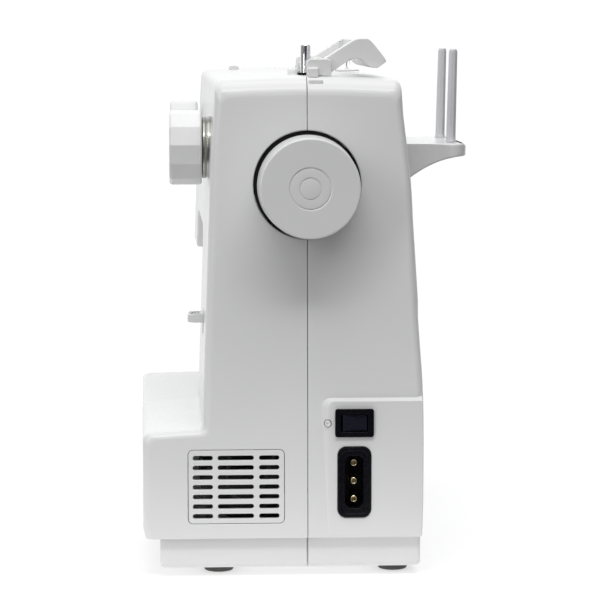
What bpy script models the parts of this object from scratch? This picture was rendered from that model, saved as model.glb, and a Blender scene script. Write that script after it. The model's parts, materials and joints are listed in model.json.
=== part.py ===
"""Compact domestic sewing machine with a front accessory tray and two upright spool pins.

All sizes are in millimetres. X = 0 is the right-hand end of the body at its foot and X falls to the
left, Y = 0 is the seam between the front and rear covers with +Y to the back, and Z = 0 is the table.
The mesh helpers turn millimetres into metres, and one empty moves the whole machine so that the
centre of its footprint stands at the world origin.
"""
import math

import bmesh
import bpy
from mathutils import Vector

MM = 0.001
GAP = 0.3
WALL = 2.5

# Footprint, used only to centre the machine on the world origin
WHEEL_FACE_X = 28.0
TRAY_LEFT_X = -362.0
BRACKET_BACK_Y = 94.1
FRONT_FLARE = 0.0115
TRAY_FRONT_Y = -93.0 + FRONT_FLARE * TRAY_LEFT_X

# Body shell
COVER_FOOT_Z = 22.7
FLARE_TOP_Z = 29.0
FOOT_TUCK = 1.5
BODY_TOP_Z = 281.0
CROWN = 1.5
SEAM_HALF = 0.15
END_LEAN = math.tan(math.radians(2.0))
LEAN_FULL_TO = 12.0
LEAN_GONE_AT = 60.0
END_SIDE_RADIUS = 4.5
END_TOP_RADIUS = 11.5
BASE_FRONT_Y = -93.0
SHELF_Z = 83.0
SHELF_RISE = 1.3
SHELF_EDGE_RADIUS = 5.0
SHELF_FILLET = 4.0
TOP_EDGE_RADIUS = 5.2
COLUMN_LEFT_X = -118.0
HARP_LEFT_X = -270.0
ARM_UNDER_Z = 190.0
HEAD_UNDER_Z = 165.0
HARP_RADIUS = 14.0
COVER_LEFT_X = -338.0
HEAD_LEFT_X = -355.0

# Upright curves of the body, as (height, depth) from foot to top
FRONT_CURVE = [(88.0, -59.0), (113.0, -58.4), (168.0, -56.5), (237.0, -54.0), (261.0, -52.2)]
BACK_CURVE = [
    (22.7, 65.2), (47.0, 65.9), (101.0, 65.7), (147.0, 62.7), (195.0, 60.1), (225.0, 58.4), (261.0, 54.2),
]

# Free arm, base and tray
ARM_FRONT_Y = -33.0
ARM_BACK_Y = 62.0
ARM_TOP_Z = 69.0
ARM_LEFT_X = -344.0
FLAP_LEFT_X = -352.0
BASE_Z = (6.0, 22.4)
TRAY_TUCK = 9.5
TRAY_RIGHT_X = -118.6
FOOT_RADIUS = 8.5
FOOT_PLACES = {
    "foot_front_right": (-25.0, -50.0),
    "foot_back_right": (-25.0, 50.0),
    "foot_front_left": (-325.0, -19.0),
    "foot_back_left": (-325.0, 48.0),
}

# Shafts
SHAFT_Z = 222.0
SHAFT_RADIUS = 4.0
LOWER_SHAFT_Z = 40.0
MOTOR_Y = -35.0
MOTOR_Z = 52.0
MAIN_PULLEY_RADIUS = 30.0
MOTOR_PULLEY_RADIUS = 9.0
UPPER_TIMING_RADIUS = 18.0
LOWER_TIMING_RADIUS = 9.0
BELT_THICK = 2.0
PULLEY_X = (-22.0, -14.0)
TIMING_X = (-108.0, -100.0)
WHEEL_RADIUS = 27.6
WELL_RADIUS = 30.3

# Head
NEEDLE_X = -318.0
NEEDLE_Y = -2.0
PRESSER_Y = 14.0
CRANK_RADIUS = 17.0
CRANK_THROW = 15.0
TAKE_UP_X = -328.0
TAKE_UP_PIVOT = (-22.0, 215.0)
PRESSER_LEVER_PIVOT = (-300.0, 172.0)
FOOT_PIVOT = (9.0, 77.0)

# Controls and fittings
PATTERN_DIAL = (-55.0, 241.0)
PATTERN_FACETS = 14
PATTERN_FACET_START = 22.7
PATTERN_COLLAR_RADIUS = 18.0
TENSION_DIAL = (-290.0, 244.0)
TENSION_FACETS = 18
REVERSE_X = -55.0
REVERSE_HALF_WIDTH = 7.5
REVERSE_HALF_THICK = 2.6
REVERSE_Z = 142.7
REVERSE_PIVOT_Y = -30.0
HANDLE_PIVOT = (7.4, 287.7)
HANDLE_X = (-147.0, -29.0)
HANDLE_ARM_WIDTH = 12.0
WINDER = (-60.0, 1.6)
WINDER_STOP = (-75.0, -5.0)
SPOOL_X = (-62.0, -122.0)
SPOOL_Y = 86.4
SPOOL_LEAN = math.tan(math.radians(1.2))
SPOOL_FACETS = 8
BRACKET_X = (-139.0, -45.0)
BRACKET_CORNER_RADIUS = 9.0
BRACKET_TOP_Z = 243.2
BRACKET_UNDER_Z = 235.8
BRACKET_DROP = 14.0
BRACKET_ROOT_Y = 59.1
PANEL_FACE_X = 0.2
PANEL_SLOPE_FOOT = 3.0
SWITCH_CENTRE = (26.15, 88.4)
SWITCH_HALF = (10.95, 8.05)
SWITCH_TILT = math.radians(8.0)
INLET_CENTRE = (26.2, 54.5)
INLET_HALF = (9.2, 20.0)
INLET_PITCH = 10.4
INLET_PIN_RADIUS = 2.2
SCREW_CENTRE = (11.2, 88.0)
VENT_Y = (-67.7, -13.0)
VENT_Z = (31.1, 73.3)
VENT_ROWS = 7
VENT_FIRST_Z = 35.5
VENT_PITCH = 5.5
VENT_SLOT_HIGH = 2.3
VENT_COLUMNS = ((-64.9, -53.6), (-50.8, -30.5), (-27.5, -16.1))

ORIGIN_SHIFT = Vector((-(WHEEL_FACE_X + TRAY_LEFT_X) / 2, -(TRAY_FRONT_Y + BRACKET_BACK_Y) / 2, 0.0)) * MM


# ---------------------------------------------------------------- scene and materials

def clear_scene():
    for old in list(bpy.data.objects):
        bpy.data.objects.remove(old, do_unlink=True)


def make_material(name, colour, roughness, metallic=0.0):
    material = bpy.data.materials.new(name)
    material.use_nodes = True
    shader = material.node_tree.nodes["Principled BSDF"]
    shader.inputs["Base Color"].default_value = (*colour, 1.0)
    shader.inputs["Roughness"].default_value = roughness
    shader.inputs["Metallic"].default_value = metallic
    return material


def make_palette():
    return {
        "white": make_material("white_abs", (0.80, 0.80, 0.79), 0.35),
        "trim": make_material("trim_white", (0.74, 0.74, 0.73), 0.32),
        "grey": make_material("bracket_grey", (0.42, 0.43, 0.44), 0.45),
        "black": make_material("black_plastic", (0.012, 0.012, 0.013), 0.35),
        "rubber": make_material("dark_rubber", (0.05, 0.05, 0.047), 0.8),
        "brass": make_material("brass", (0.72, 0.52, 0.24), 0.28, 1.0),
        "chrome": make_material("chrome", (0.78, 0.78, 0.79), 0.12, 1.0),
        "steel": make_material("brushed_steel", (0.56, 0.56, 0.57), 0.32, 1.0),
        "casting": make_material("cast_aluminium", (0.5, 0.5, 0.5), 0.5, 1.0),
        "lamp": make_material("lamp_glass", (0.9, 0.88, 0.8), 0.15),
        "nylon": make_material("nylon", (0.62, 0.61, 0.56), 0.5),
    }


# ---------------------------------------------------------------- mesh helpers

def add_mesh(name, bm, material, pivot=(0.0, 0.0, 0.0)):
    """Turns a millimetre mesh into a named object whose origin stands at pivot."""
    bmesh.ops.recalc_face_normals(bm, faces=bm.faces)
    for vertex in bm.verts:
        vertex.co = (vertex.co - Vector(pivot)) * MM
    mesh = bpy.data.meshes.new(name)
    bm.to_mesh(mesh)
    bm.free()
    mesh.shade_smooth()
    mesh.set_sharp_from_angle(angle=math.radians(35.0))
    mesh.materials.append(PALETTE[material])
    thing = bpy.data.objects.new(name, mesh)
    bpy.context.scene.collection.objects.link(thing)
    thing.parent = FRAME
    thing.location = Vector(pivot) * MM
    return thing


def loft(rings, closed=False):
    """Skins rings of equal length; the ends are capped unless the run closes on itself."""
    bm = bmesh.new()
    rows = [[bm.verts.new(point) for point in ring] for ring in rings]
    pairs = list(zip(rows, rows[1:]))
    if closed:
        pairs.append((rows[-1], rows[0]))
    for low, high in pairs:
        for i in range(len(low)):
            j = (i + 1) % len(low)
            bm.faces.new((low[i], low[j], high[j], high[i]))
    if not closed:
        bm.faces.new(list(reversed(rows[0])))
        bm.faces.new(rows[-1])
    return bm


def to_space(axis, along, a, b):
    """Places the outline point (a, b) at a distance along the given axis."""
    if axis == "X":
        return (along, a, b)
    if axis == "Y":
        return (a, along, b)
    return (a, b, along)


def prism(outline, axis, low, high):
    return loft([[to_space(axis, along, a, b) for a, b in outline] for along in (low, high)])


def block(x, y, z):
    return prism([(x[0], y[0]), (x[1], y[0]), (x[1], y[1]), (x[0], y[1])], "Z", z[0], z[1])


def arc(centre, radius, start, end, steps):
    """Points on an arc, angles in degrees, both ends included."""
    angles = [math.radians(start + (end - start) * i / steps) for i in range(steps + 1)]
    return [(centre[0] + radius * math.cos(t), centre[1] + radius * math.sin(t)) for t in angles]


def rounded_rect(a, b, radius, steps=3):
    """Outline of the rectangle a[0]..a[1] by b[0]..b[1] with rounded corners."""
    points = arc((a[1] - radius, b[1] - radius), radius, 0, 90, steps)
    points += arc((a[0] + radius, b[1] - radius), radius, 90, 180, steps)
    points += arc((a[0] + radius, b[0] + radius), radius, 180, 270, steps)
    points += arc((a[1] - radius, b[0] + radius), radius, 270, 360, steps)
    return points


def circle(centre, radius, steps, phase=0.0):
    return arc(centre, radius, phase, phase + 360.0, steps)[:-1]


def turned(profile, axis, centre, steps=24, hollow=False, phase=0.0):
    """Turns (radius, distance) points about an axis; a solid profile starts and ends on the axis."""
    bm = bmesh.new()
    rows = []
    for radius, along in profile:
        if radius == 0:
            rows.append([bm.verts.new(to_space(axis, along, *centre))])
        else:
            ring = circle(centre, radius, steps, phase)
            rows.append([bm.verts.new(to_space(axis, along, a, b)) for a, b in ring])
    pairs = list(zip(rows, rows[1:]))
    if hollow:
        pairs.append((rows[-1], rows[0]))
    for low, high in pairs:
        for i in range(steps):
            j = (i + 1) % steps
            corners = [low[i % len(low)], low[j % len(low)], high[j % len(high)], high[i % len(high)]]
            bm.faces.new(list(dict.fromkeys(corners)))
    return bm


def tool(name, bm):
    """A helper solid for a Boolean; it isn't a piece of the machine."""
    thing = add_mesh(name, bm, "grey")
    thing.hide_render = True
    thing.display_type = "WIRE"
    return thing


def boolean(target, helper, operation):
    modifier = target.modifiers.new(helper.name, "BOOLEAN")
    modifier.operation = operation
    modifier.solver = "EXACT"
    modifier.object = helper


def cut(target, *helpers):
    for helper in helpers:
        boolean(target, helper, "DIFFERENCE")


def join(target, *helpers):
    for helper in helpers:
        boolean(target, helper, "UNION")


# ---------------------------------------------------------------- body surface

def along_curve(curve, z):
    """Depth of an upright curve at height z, straight between its points."""
    for (z0, y0), (z1, y1) in zip(curve, curve[1:]):
        if z <= z1:
            return y0 + (y1 - y0) * (z - z0) / (z1 - z0)
    return curve[-1][1]


def top_corner(y_edge, top, side):
    """Rounded top edge that rises from the depth y_edge; side is -1 at the front, +1 at the back."""
    centre = (y_edge - side * TOP_EDGE_RADIUS, top - TOP_EDGE_RADIUS)
    start = 180 if side < 0 else 0
    return arc(centre, TOP_EDGE_RADIUS, start, 90, 4)


def front_outline(inset, top_inset, foot):
    """Section of the front half, from the seam's foot round the front to the seam's top."""
    front = BASE_FRONT_Y + inset
    shelf = SHELF_Z - inset
    column = FRONT_CURVE[0][1] + inset
    top = BODY_TOP_Z - top_inset
    points = [(-SEAM_HALF, foot), (front + FOOT_TUCK, foot), (front, FLARE_TOP_Z)]
    points += arc((front + SHELF_EDGE_RADIUS, shelf - SHELF_EDGE_RADIUS), SHELF_EDGE_RADIUS, 180, 90, 4)
    fillet = (column - SHELF_FILLET, shelf + SHELF_RISE + SHELF_FILLET)
    points += arc(fillet, SHELF_FILLET, 270, 360, 3)
    points += [(y + inset, z) for z, y in FRONT_CURVE[1:]]
    points += top_corner(FRONT_CURVE[-1][1] + 0.6 + inset, top, -1)
    points += [(-24.0, top + CROWN * 0.66), (-SEAM_HALF, top + CROWN)]
    return points


def back_outline(inset, top_inset, foot):
    """Section of the rear half, from the seam's foot round the back to the seam's top."""
    top = BODY_TOP_Z - top_inset
    points = [(SEAM_HALF, foot), (BACK_CURVE[0][1] - inset, foot)]
    points += [(y - inset, z) for z, y in BACK_CURVE[1:]]
    points += top_corner(BACK_CURVE[-1][1] - 0.8 - inset, top, 1)
    points += [(24.0, top + CROWN * 0.66), (SEAM_HALF, top + CROWN)]
    return points


def end_inset(depth, radius):
    """How far a rounded edge lies inside the flat surface at a depth behind the end face."""
    if depth >= radius:
        return 0.0
    return radius - math.sqrt(radius * radius - (radius - depth) ** 2)


def lean_at(depth, z):
    """The end face leans back with height; the lean fades out along the body."""
    fade = 1.0 - min(1.0, max(0.0, (depth - LEAN_FULL_TO) / (LEAN_GONE_AT - LEAN_FULL_TO)))
    return max(0.0, z - COVER_FOOT_Z) * END_LEAN * fade


def end_stations(side_radius, top_radius):
    depths = {side_radius * (1 - math.cos(math.radians(t))) for t in (0, 35, 65, 90)}
    depths |= {top_radius * (1 - math.cos(math.radians(t))) for t in (30, 50, 70, 90)}
    return sorted(depths)


def half_body(outline, flare, wall, foot, left_x):
    """Solid half of the body, or of its hollow when wall is not 0; flare widens it to the left."""
    side_radius = END_SIDE_RADIUS - wall * 0.8
    top_radius = END_TOP_RADIUS - wall
    depths = end_stations(side_radius, top_radius) + [LEAN_GONE_AT, -left_x]
    rings = []
    for depth in depths:
        at = depth + wall if depth < LEAN_GONE_AT else depth
        inset = wall + end_inset(depth, side_radius) - flare * depth
        section = outline(inset, wall + end_inset(depth, top_radius), foot)
        rings.append([(-at - lean_at(depth, z), y, z) for y, z in section])
    return loft(rings)


def under_arm_outline(grow):
    """What is missing below the arm and head, seen from the front; grow widens it by a wall."""
    right = COLUMN_LEFT_X + grow
    arm = ARM_UNDER_Z + grow
    corner = arc((right - HARP_RADIUS, arm - HARP_RADIUS), HARP_RADIUS, 0, 90, 4)
    if grow:
        return [(right, -20.0)] + corner + [(HARP_LEFT_X - grow, arm), (HARP_LEFT_X - grow, -20.0)]
    left = [(HARP_LEFT_X + 6.0, arm), (HARP_LEFT_X, arm - 6.0), (HARP_LEFT_X, HEAD_UNDER_Z)]
    return [(right, -20.0)] + corner + left + [(-400.0, HEAD_UNDER_Z), (-400.0, -20.0)]


def make_cover(name, outline, flare, seam):
    """One half shell: outer surface, less what lies under the arm, less its hollow."""
    shell = add_mesh(name, half_body(outline, flare, 0.0, COVER_FOOT_Z, COVER_LEFT_X), "white")
    inner = half_body(across_seam(outline, seam), flare, WALL, -15.0, COVER_LEFT_X - 20.0)
    hollow = tool(name + "_hollow", inner)
    grown = tool(name + "_wall_line", prism(under_arm_outline(WALL), "Y", -130.0, 130.0))
    cut(hollow, grown)
    under = tool(name + "_under_arm", prism(under_arm_outline(0.0), "Y", -140.0, 140.0))
    cut(shell, under, hollow)
    return shell


def across_seam(outline, seam):
    """The same section, carried across the seam so that the seam side stays open."""
    def shifted(inset, top_inset, foot):
        points = outline(inset, top_inset, foot)
        return [(seam, points[0][1])] + points[1:-1] + [(seam, points[-1][1])]
    return shifted


# ---------------------------------------------------------------- covers

def cut_shared_openings(cover):
    """Openings that both covers share: handwheel well, free-arm passage and winder slot."""
    name = cover.name
    well = tool(name + "_wheel_well", prism(circle((0.0, SHAFT_Z), WELL_RADIUS, 36), "X", -13.0, 5.0))
    passage = tool(name + "_arm_passage", block((-122.0, -113.0), (-29.0, 58.0), (5.0, 65.5)))
    slot = tool(name + "_winder_slot", block((-64.8, -50.2), (-3.2, 6.4), (270.0, 290.0)))
    cut(cover, well, passage, slot)


def make_front_cover():
    cover = make_cover("front_cover", front_outline, FRONT_FLARE, 2.0)
    collar = prism(circle(PATTERN_DIAL, PATTERN_COLLAR_RADIUS, 28), "Y", -58.3, -53.5)
    join(cover, tool("pattern_dial_collar", collar))
    stop_profile = [(0, 280.0), (3.2, 280.0), (3.2, 284.6), (2.2, 286.0), (0, 286.0)]
    stop = turned(stop_profile, "Z", WINDER_STOP, 14)
    join(cover, tool("winder_stop", stop))
    cut_shared_openings(cover)
    vent_hole = rounded_rect((VENT_Y[0], VENT_Y[1]), (VENT_Z[0], VENT_Z[1]), 3.0)
    cut(cover, tool("vent_hole", prism(vent_hole, "X", -9.0, 4.0)))
    cut(cover, tool("pattern_stem_hole", prism(circle(PATTERN_DIAL, 5.0, 16), "Y", -70.0, -45.0)))
    cut(cover, tool("tension_stem_hole", prism(circle(TENSION_DIAL, 4.0, 16), "Y", -70.0, -45.0)))
    slot_half = REVERSE_HALF_WIDTH + 1.5
    reverse_slot = block((REVERSE_X - slot_half, REVERSE_X + slot_half), (-75.0, -45.0), (132.0, 147.0))
    cut(cover, tool("reverse_slot", reverse_slot))
    take_up_slot = block((TAKE_UP_X - 3.0, TAKE_UP_X + 3.0), (-75.0, -45.0), (202.0, 268.0))
    cut(cover, tool("take_up_slot", take_up_slot))


def panel_outline(grow):
    return rounded_rect((10.6 - grow, 61.0), (26.0 - grow * 0.6, 100.9 + grow), 4.0 + grow, 3)


def make_rear_cover():
    cover = make_cover("rear_cover", back_outline, 0.0, -2.0)
    foot = [(-3.4, y, z) for y, z in panel_outline(PANEL_SLOPE_FOOT)]
    face = [(PANEL_FACE_X, y, z) for y, z in panel_outline(0.0)]
    join(cover, tool("inlet_panel", loft([foot, face])))
    cut_shared_openings(cover)
    switch_hole = rounded_rect((16.5, 35.8), (81.7, 95.2), 1.0, 2)
    cut(cover, tool("switch_hole", prism(switch_hole, "X", -12.0, 4.0)))
    inlet_hole = rounded_rect((16.7, 35.8), (34.2, 74.8), 4.9)
    cut(cover, tool("inlet_hole", prism(inlet_hole, "X", -12.0, 4.0)))
    cut(cover, tool("screw_hole", prism(circle(SCREW_CENTRE, 2.15, 12), "X", -12.0, 4.0)))


def head_section(inset, top_inset):
    """Section of the whole head above its underside, from the front foot over to the back foot."""
    top = BODY_TOP_Z - top_inset
    flare = FRONT_FLARE * COVER_LEFT_X
    heights = (HEAD_UNDER_Z, 200.0, 237.0)
    points = [(along_curve(FRONT_CURVE, z) + flare + inset, z) for z in heights]
    points += top_corner(FRONT_CURVE[-1][1] + 0.6 + flare + inset, top, -1)
    points += [(-24.0, top + CROWN * 0.66), (0.0, top + CROWN), (24.0, top + CROWN * 0.66)]
    points += reversed(top_corner(BACK_CURVE[-1][1] - 0.8 - inset, top, 1))
    points += [(along_curve(BACK_CURVE, z) - inset, z) for z in reversed(heights)]
    return points


def make_face_cover():
    """Hinged cap on the left end of the head."""
    radius = 8.0
    hinge = (COVER_LEFT_X - SEAM_HALF, 62.2, 220.0)
    rings = [[(COVER_LEFT_X - GAP, y, z) for y, z in head_section(0.0, 0.0)]]
    for t in (90, 60, 35, 12):
        inset = radius * (1 - math.sin(math.radians(t)))
        x = HEAD_LEFT_X + radius * (1 - math.cos(math.radians(t)))
        rings.append([(x, y, z) for y, z in head_section(inset, inset)])
    cover = add_mesh("face_cover", loft(rings), "white", hinge)
    inner = []
    for x in (-330.0, HEAD_LEFT_X + WALL + 1.5):
        ring = [(x, y, z) for y, z in head_section(WALL, WALL)]
        below = HEAD_UNDER_Z - 15.0
        inner.append([(x, ring[0][1], below)] + ring[1:-1] + [(x, ring[-1][1], below)])
    cut(cover, tool("face_cover_hollow", loft(inner)))


def make_free_arm():
    outside = prism(free_arm_section(0.0, COVER_FOOT_Z), "X", ARM_LEFT_X, COLUMN_LEFT_X - GAP)
    cover = add_mesh("free_arm_cover", outside, "white")
    hollow = tool("free_arm_hollow", prism(free_arm_section(WALL, 0.0), "X", ARM_LEFT_X - 10.0, -100.0))
    window = rounded_rect((-341.3, -295.7), (-26.3, 30.3), 4.3, 2)
    cut(cover, hollow, tool("needle_plate_window", prism(window, "Z", 60.0, 75.0)))


def free_arm_section(inset, foot):
    radius = 6.0 - inset * 0.6
    top = ARM_TOP_Z - inset
    back = ARM_BACK_Y - inset
    front = ARM_FRONT_Y + inset
    points = [(front, foot)]
    points += arc((front + radius, top - radius), radius, 180, 90, 3)
    points += arc((back - radius, top - radius), radius, 90, 0, 3)
    return points + [(back, foot)]


def make_shuttle_flap():
    hinge = (ARM_LEFT_X - SEAM_HALF, 14.5, COVER_FOOT_Z + 0.8)
    foot = COVER_FOOT_Z + 1.0
    rings = [[(ARM_LEFT_X - GAP, y, z) for y, z in free_arm_section(0.0, foot)]]
    for inset, x in ((0.0, FLAP_LEFT_X + 4.0), (1.2, FLAP_LEFT_X + 1.2), (4.0, FLAP_LEFT_X)):
        rings.append([(x, y, z) for y, z in free_arm_section(inset, foot + inset * 0.5)])
    flap = add_mesh("shuttle_flap", loft(rings), "white", hinge)
    hollow = prism(free_arm_section(WALL, foot + WALL), "X", FLAP_LEFT_X + WALL, ARM_LEFT_X + 5.0)
    cut(flap, tool("shuttle_flap_hollow", hollow))


def base_outline(inset):
    """Plan of the bottom pan: wide under the column, narrow under the free arm."""
    right = -4.7 - inset
    front = -83.5 + inset
    step = -30.5 + inset
    left = -343.5 + inset
    back = 64.4 - inset
    column = -116.0 + inset
    points = arc((right - 4.0, back - 4.0), 4.0, 0, 90, 3) + [(left, back), (left, step), (column, step)]
    points += [(column, front)] + arc((right - 4.0, front + 4.0), 4.0, 270, 360, 3)
    return points


def make_base_pan():
    low, high = BASE_Z
    steps = ((3.0, low), (0.0, low + 3.0), (0.0, high))
    rings = [[(x, y, z) for x, y in base_outline(inset)] for inset, z in steps]
    pan = add_mesh("base_pan", loft(rings), "white")
    cut(pan, tool("base_pan_hollow", prism(base_outline(WALL), "Z", low + 3.0, 40.0)))


def make_feet():
    for name, (x, y) in FOOT_PLACES.items():
        profile = [(0, 0), (7.4, 0), (FOOT_RADIUS, 1.2), (FOOT_RADIUS, 5.7), (0, 5.7)]
        add_mesh(name, turned(profile, "Z", (x, y), 20), "rubber")


# ---------------------------------------------------------------- accessory tray

def tray_front(x):
    return BASE_FRONT_Y + FRONT_FLARE * x


def tray_section(x, inset):
    front = tray_front(x) + inset
    back = ARM_FRONT_Y - 0.6
    under = front + TRAY_TUCK
    skirt = [(x, front + FOOT_TUCK, COVER_FOOT_Z), (x, under, BASE_Z[1]), (x, under, 6.6)]
    return [(x, back, 6.6), (x, back, 66.0), (x, front, 66.0), (x, front, FLARE_TOP_Z)] + skirt


def lid_section(x, inset):
    front = tray_front(x) + inset
    back = ARM_FRONT_Y - 0.9
    nose = [(x, front + 5.0, 67.8), (x, front + 1.6, 67.4), (x, front, 66.3)]
    return [(x, back, 66.3), (x, back, 69.4)] + nose


def make_tray():
    stations = ((TRAY_RIGHT_X, 0.0), (TRAY_LEFT_X + 3.0, 0.0), (TRAY_LEFT_X + 0.8, 0.9), (TRAY_LEFT_X, 3.0))
    tray = add_mesh("tray_box", loft([tray_section(x, inset) for x, inset in stations]), "white")
    hollow = [(-37.0, 9.5), (-37.0, 72.0), (-90.5, 72.0), (-90.5, 31.0), (-82.0, 24.0), (-82.0, 9.5)]
    cut(tray, tool("tray_compartment", prism(hollow, "X", TRAY_LEFT_X + 3.5, -121.5)))
    hinge = (-240.0, ARM_FRONT_Y - 1.2, 67.9)
    add_mesh("tray_lid", loft([lid_section(x, inset) for x, inset in stations]), "white", hinge)


# ---------------------------------------------------------------- chassis and drive

def make_chassis():
    """Cast frame behind the shafts, with lugs for the bushes and the bars."""
    plate = add_mesh("chassis", block((-112.0, -28.0), (24.0, 30.0), (12.0, 232.0)), "casting")
    join(plate, tool("arm_beam", block((-335.0, -40.0), (24.0, 30.0), (208.0, 231.0))))
    join(plate, tool("head_plate", block((-336.0, -281.0), (24.2, 29.8), (167.5, 262.0))))
    join(plate, tool("lower_beam", block((-335.0, -41.0), (24.2, 29.8), (12.5, 34.0))))
    for right in (-28.4, -282.0):
        join(plate, tool("upper_lug", block((right - 8.0, right), (-10.0, 26.0), (211.0, 233.0))))
    for right in (-110.5, -288.0):
        join(plate, tool("lower_lug", block((right - 6.0, right), (-8.0, 26.0), (20.0, 49.0))))
    for low in (168.5, 238.0):
        join(plate, tool("bar_lug", block((-326.0, -310.0), (-9.0, 26.0), (low, low + 6.0))))
    for right in (-28.4, -282.0):
        hole = prism(circle((0.0, SHAFT_Z), 7.3, 16), "X", right - 12.0, right + 4.0)
        cut(plate, tool("bush_hole", hole))
    lower_hole = prism(circle((0.0, LOWER_SHAFT_Z), SHAFT_RADIUS + GAP, 14), "X", -300.0, -100.0)
    cut(plate, tool("lower_shaft_hole", lower_hole))
    cut(plate, tool("needle_bar_hole", prism(circle((NEEDLE_X, NEEDLE_Y), 3.6, 14), "Z", 160.0, 250.0)))
    cut(plate, tool("presser_bar_hole", prism(circle((NEEDLE_X, PRESSER_Y), 3.9, 14), "Z", 160.0, 250.0)))


def make_upper_drive():
    axis = (0.0, SHAFT_Z)
    pivot = (0.0, 0.0, SHAFT_Z)
    face = [(0, 27.5), (11.4, 27.6), (12.2, WHEEL_FACE_X), (24.8, WHEEL_FACE_X)]
    face += [(27.1, 27.0), (WHEEL_RADIUS, 24.8)]
    back = [(WHEEL_RADIUS, 0.0), (26.0, -3.0), (20.0, -9.0), (7.0, -9.0), (7.0, -13.5), (0, -13.5)]
    add_mesh("handwheel", turned(face + back, "X", axis, 36), "white", pivot)
    shaft = [(0, -13.8), (SHAFT_RADIUS, -13.8), (SHAFT_RADIUS, -293.7), (0, -293.7)]
    add_mesh("upper_shaft", turned(shaft, "X", axis, 16), "steel", pivot)
    add_pulley("main_pulley", axis, MAIN_PULLEY_RADIUS, PULLEY_X, 36)
    add_pulley("upper_timing_pulley", axis, UPPER_TIMING_RADIUS, TIMING_X, 28)
    for name, right in (("upper_bush_right", -28.4), ("upper_bush_left", -282.0)):
        bore = SHAFT_RADIUS + GAP
        bush = [(bore, right), (7.0, right), (7.0, right - 8.0), (bore, right - 8.0)]
        add_mesh(name, turned(bush, "X", axis, 16, hollow=True), "brass")
    disc = [(0, -294.0), (CRANK_RADIUS, -294.0), (CRANK_RADIUS, -300.0), (0, -300.0)]
    crank = add_mesh("needle_crank", turned(disc, "X", axis, 24), "steel", pivot)
    pin = prism(circle((0.0, SHAFT_Z + CRANK_THROW - 1.0), 2.2, 10), "X", -305.5, -298.0)
    join(crank, tool("crank_pin", pin))


def add_pulley(name, axis, radius, span, steps):
    """Pulley that sits on an 8 mm shaft."""
    bore = SHAFT_RADIUS + GAP
    profile = [(bore, span[0]), (radius, span[0]), (radius, span[1]), (bore, span[1])]
    pivot = (0.0, axis[0], axis[1])
    add_mesh(name, turned(profile, "X", axis, steps, hollow=True), "nylon", pivot)


def make_lower_drive():
    axis = (0.0, LOWER_SHAFT_Z)
    pivot = (0.0, 0.0, LOWER_SHAFT_Z)
    shaft = [(0, -96.0), (SHAFT_RADIUS, -96.0), (SHAFT_RADIUS, -320.0), (0, -320.0)]
    add_mesh("lower_shaft", turned(shaft, "X", axis, 16), "steel", pivot)
    add_pulley("lower_timing_pulley", axis, LOWER_TIMING_RADIUS, TIMING_X, 20)
    hook = [(0, -320.4), (15.5, -320.4), (15.5, -336.0), (13.0, -336.0), (13.0, -323.5), (0, -323.5)]
    add_mesh("shuttle_hook", turned(hook, "X", axis, 28), "steel", pivot)
    case = [(0, -341.0), (12.4, -341.0), (12.4, -325.0), (11.3, -325.0), (11.3, -339.5), (0, -339.5)]
    add_mesh("bobbin_case", turned(case, "X", axis, 24), "chrome")
    reel = [(0, -326.0), (10.5, -326.0), (10.5, -327.2), (4.5, -327.2),
            (4.5, -337.3), (10.5, -337.3), (10.5, -338.5), (0, -338.5)]
    add_mesh("bobbin", turned(reel, "X", axis, 20), "nylon", pivot)


def make_motor():
    axis = (MOTOR_Y, MOTOR_Z)
    nose = [(0, -30.0), (8.0, -30.0), (8.0, -34.0)]
    can = [(22.0, -34.0), (26.0, -38.0), (26.0, -91.0), (22.0, -95.0), (0, -95.0)]
    add_mesh("motor", turned(nose + can, "X", axis, 24), "steel")
    radius = MOTOR_PULLEY_RADIUS
    left, right = PULLEY_X
    pulley = [(0, right + 2.0), (3.0, right + 2.0), (3.0, right), (radius, right)]
    pulley += [(radius, left), (3.0, left), (3.0, -29.7), (0, -29.7)]
    add_mesh("motor_pulley", turned(pulley, "X", axis, 20), "nylon", (0.0, MOTOR_Y, MOTOR_Z))


def belt_outline(low, low_radius, high, high_radius, steps):
    """Closed outline of a belt that runs round two pulleys, one above the other."""
    run = Vector((high[0] - low[0], high[1] - low[1]))
    lean = math.degrees(math.atan2(run.y, run.x))
    spread = math.degrees(math.acos((low_radius - high_radius) / run.length))
    start = lean - spread
    points = arc(high, high_radius, start, lean + spread, steps)
    return points + arc(low, low_radius, lean + spread, start + 360.0, steps)


def make_belt(name, low, low_radius, high, high_radius, span):
    rings = []
    inner = belt_outline(low, low_radius + GAP, high, high_radius + GAP, 12)
    outer = belt_outline(low, low_radius + GAP + BELT_THICK, high, high_radius + GAP + BELT_THICK, 12)
    for outline, x in ((inner, span[0]), (inner, span[1]), (outer, span[1]), (outer, span[0])):
        rings.append([(x, y, z) for y, z in outline])
    add_mesh(name, loft(rings, closed=True), "rubber")


def make_belts():
    upper = (0.0, SHAFT_Z)
    lower = (0.0, LOWER_SHAFT_Z)
    motor = (MOTOR_Y, MOTOR_Z)
    make_belt("motor_belt", motor, MOTOR_PULLEY_RADIUS, upper, MAIN_PULLEY_RADIUS, (-21.0, -15.0))
    make_belt("timing_belt", lower, LOWER_TIMING_RADIUS, upper, UPPER_TIMING_RADIUS, (-107.0, -101.0))


# ---------------------------------------------------------------- head mechanism

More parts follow.
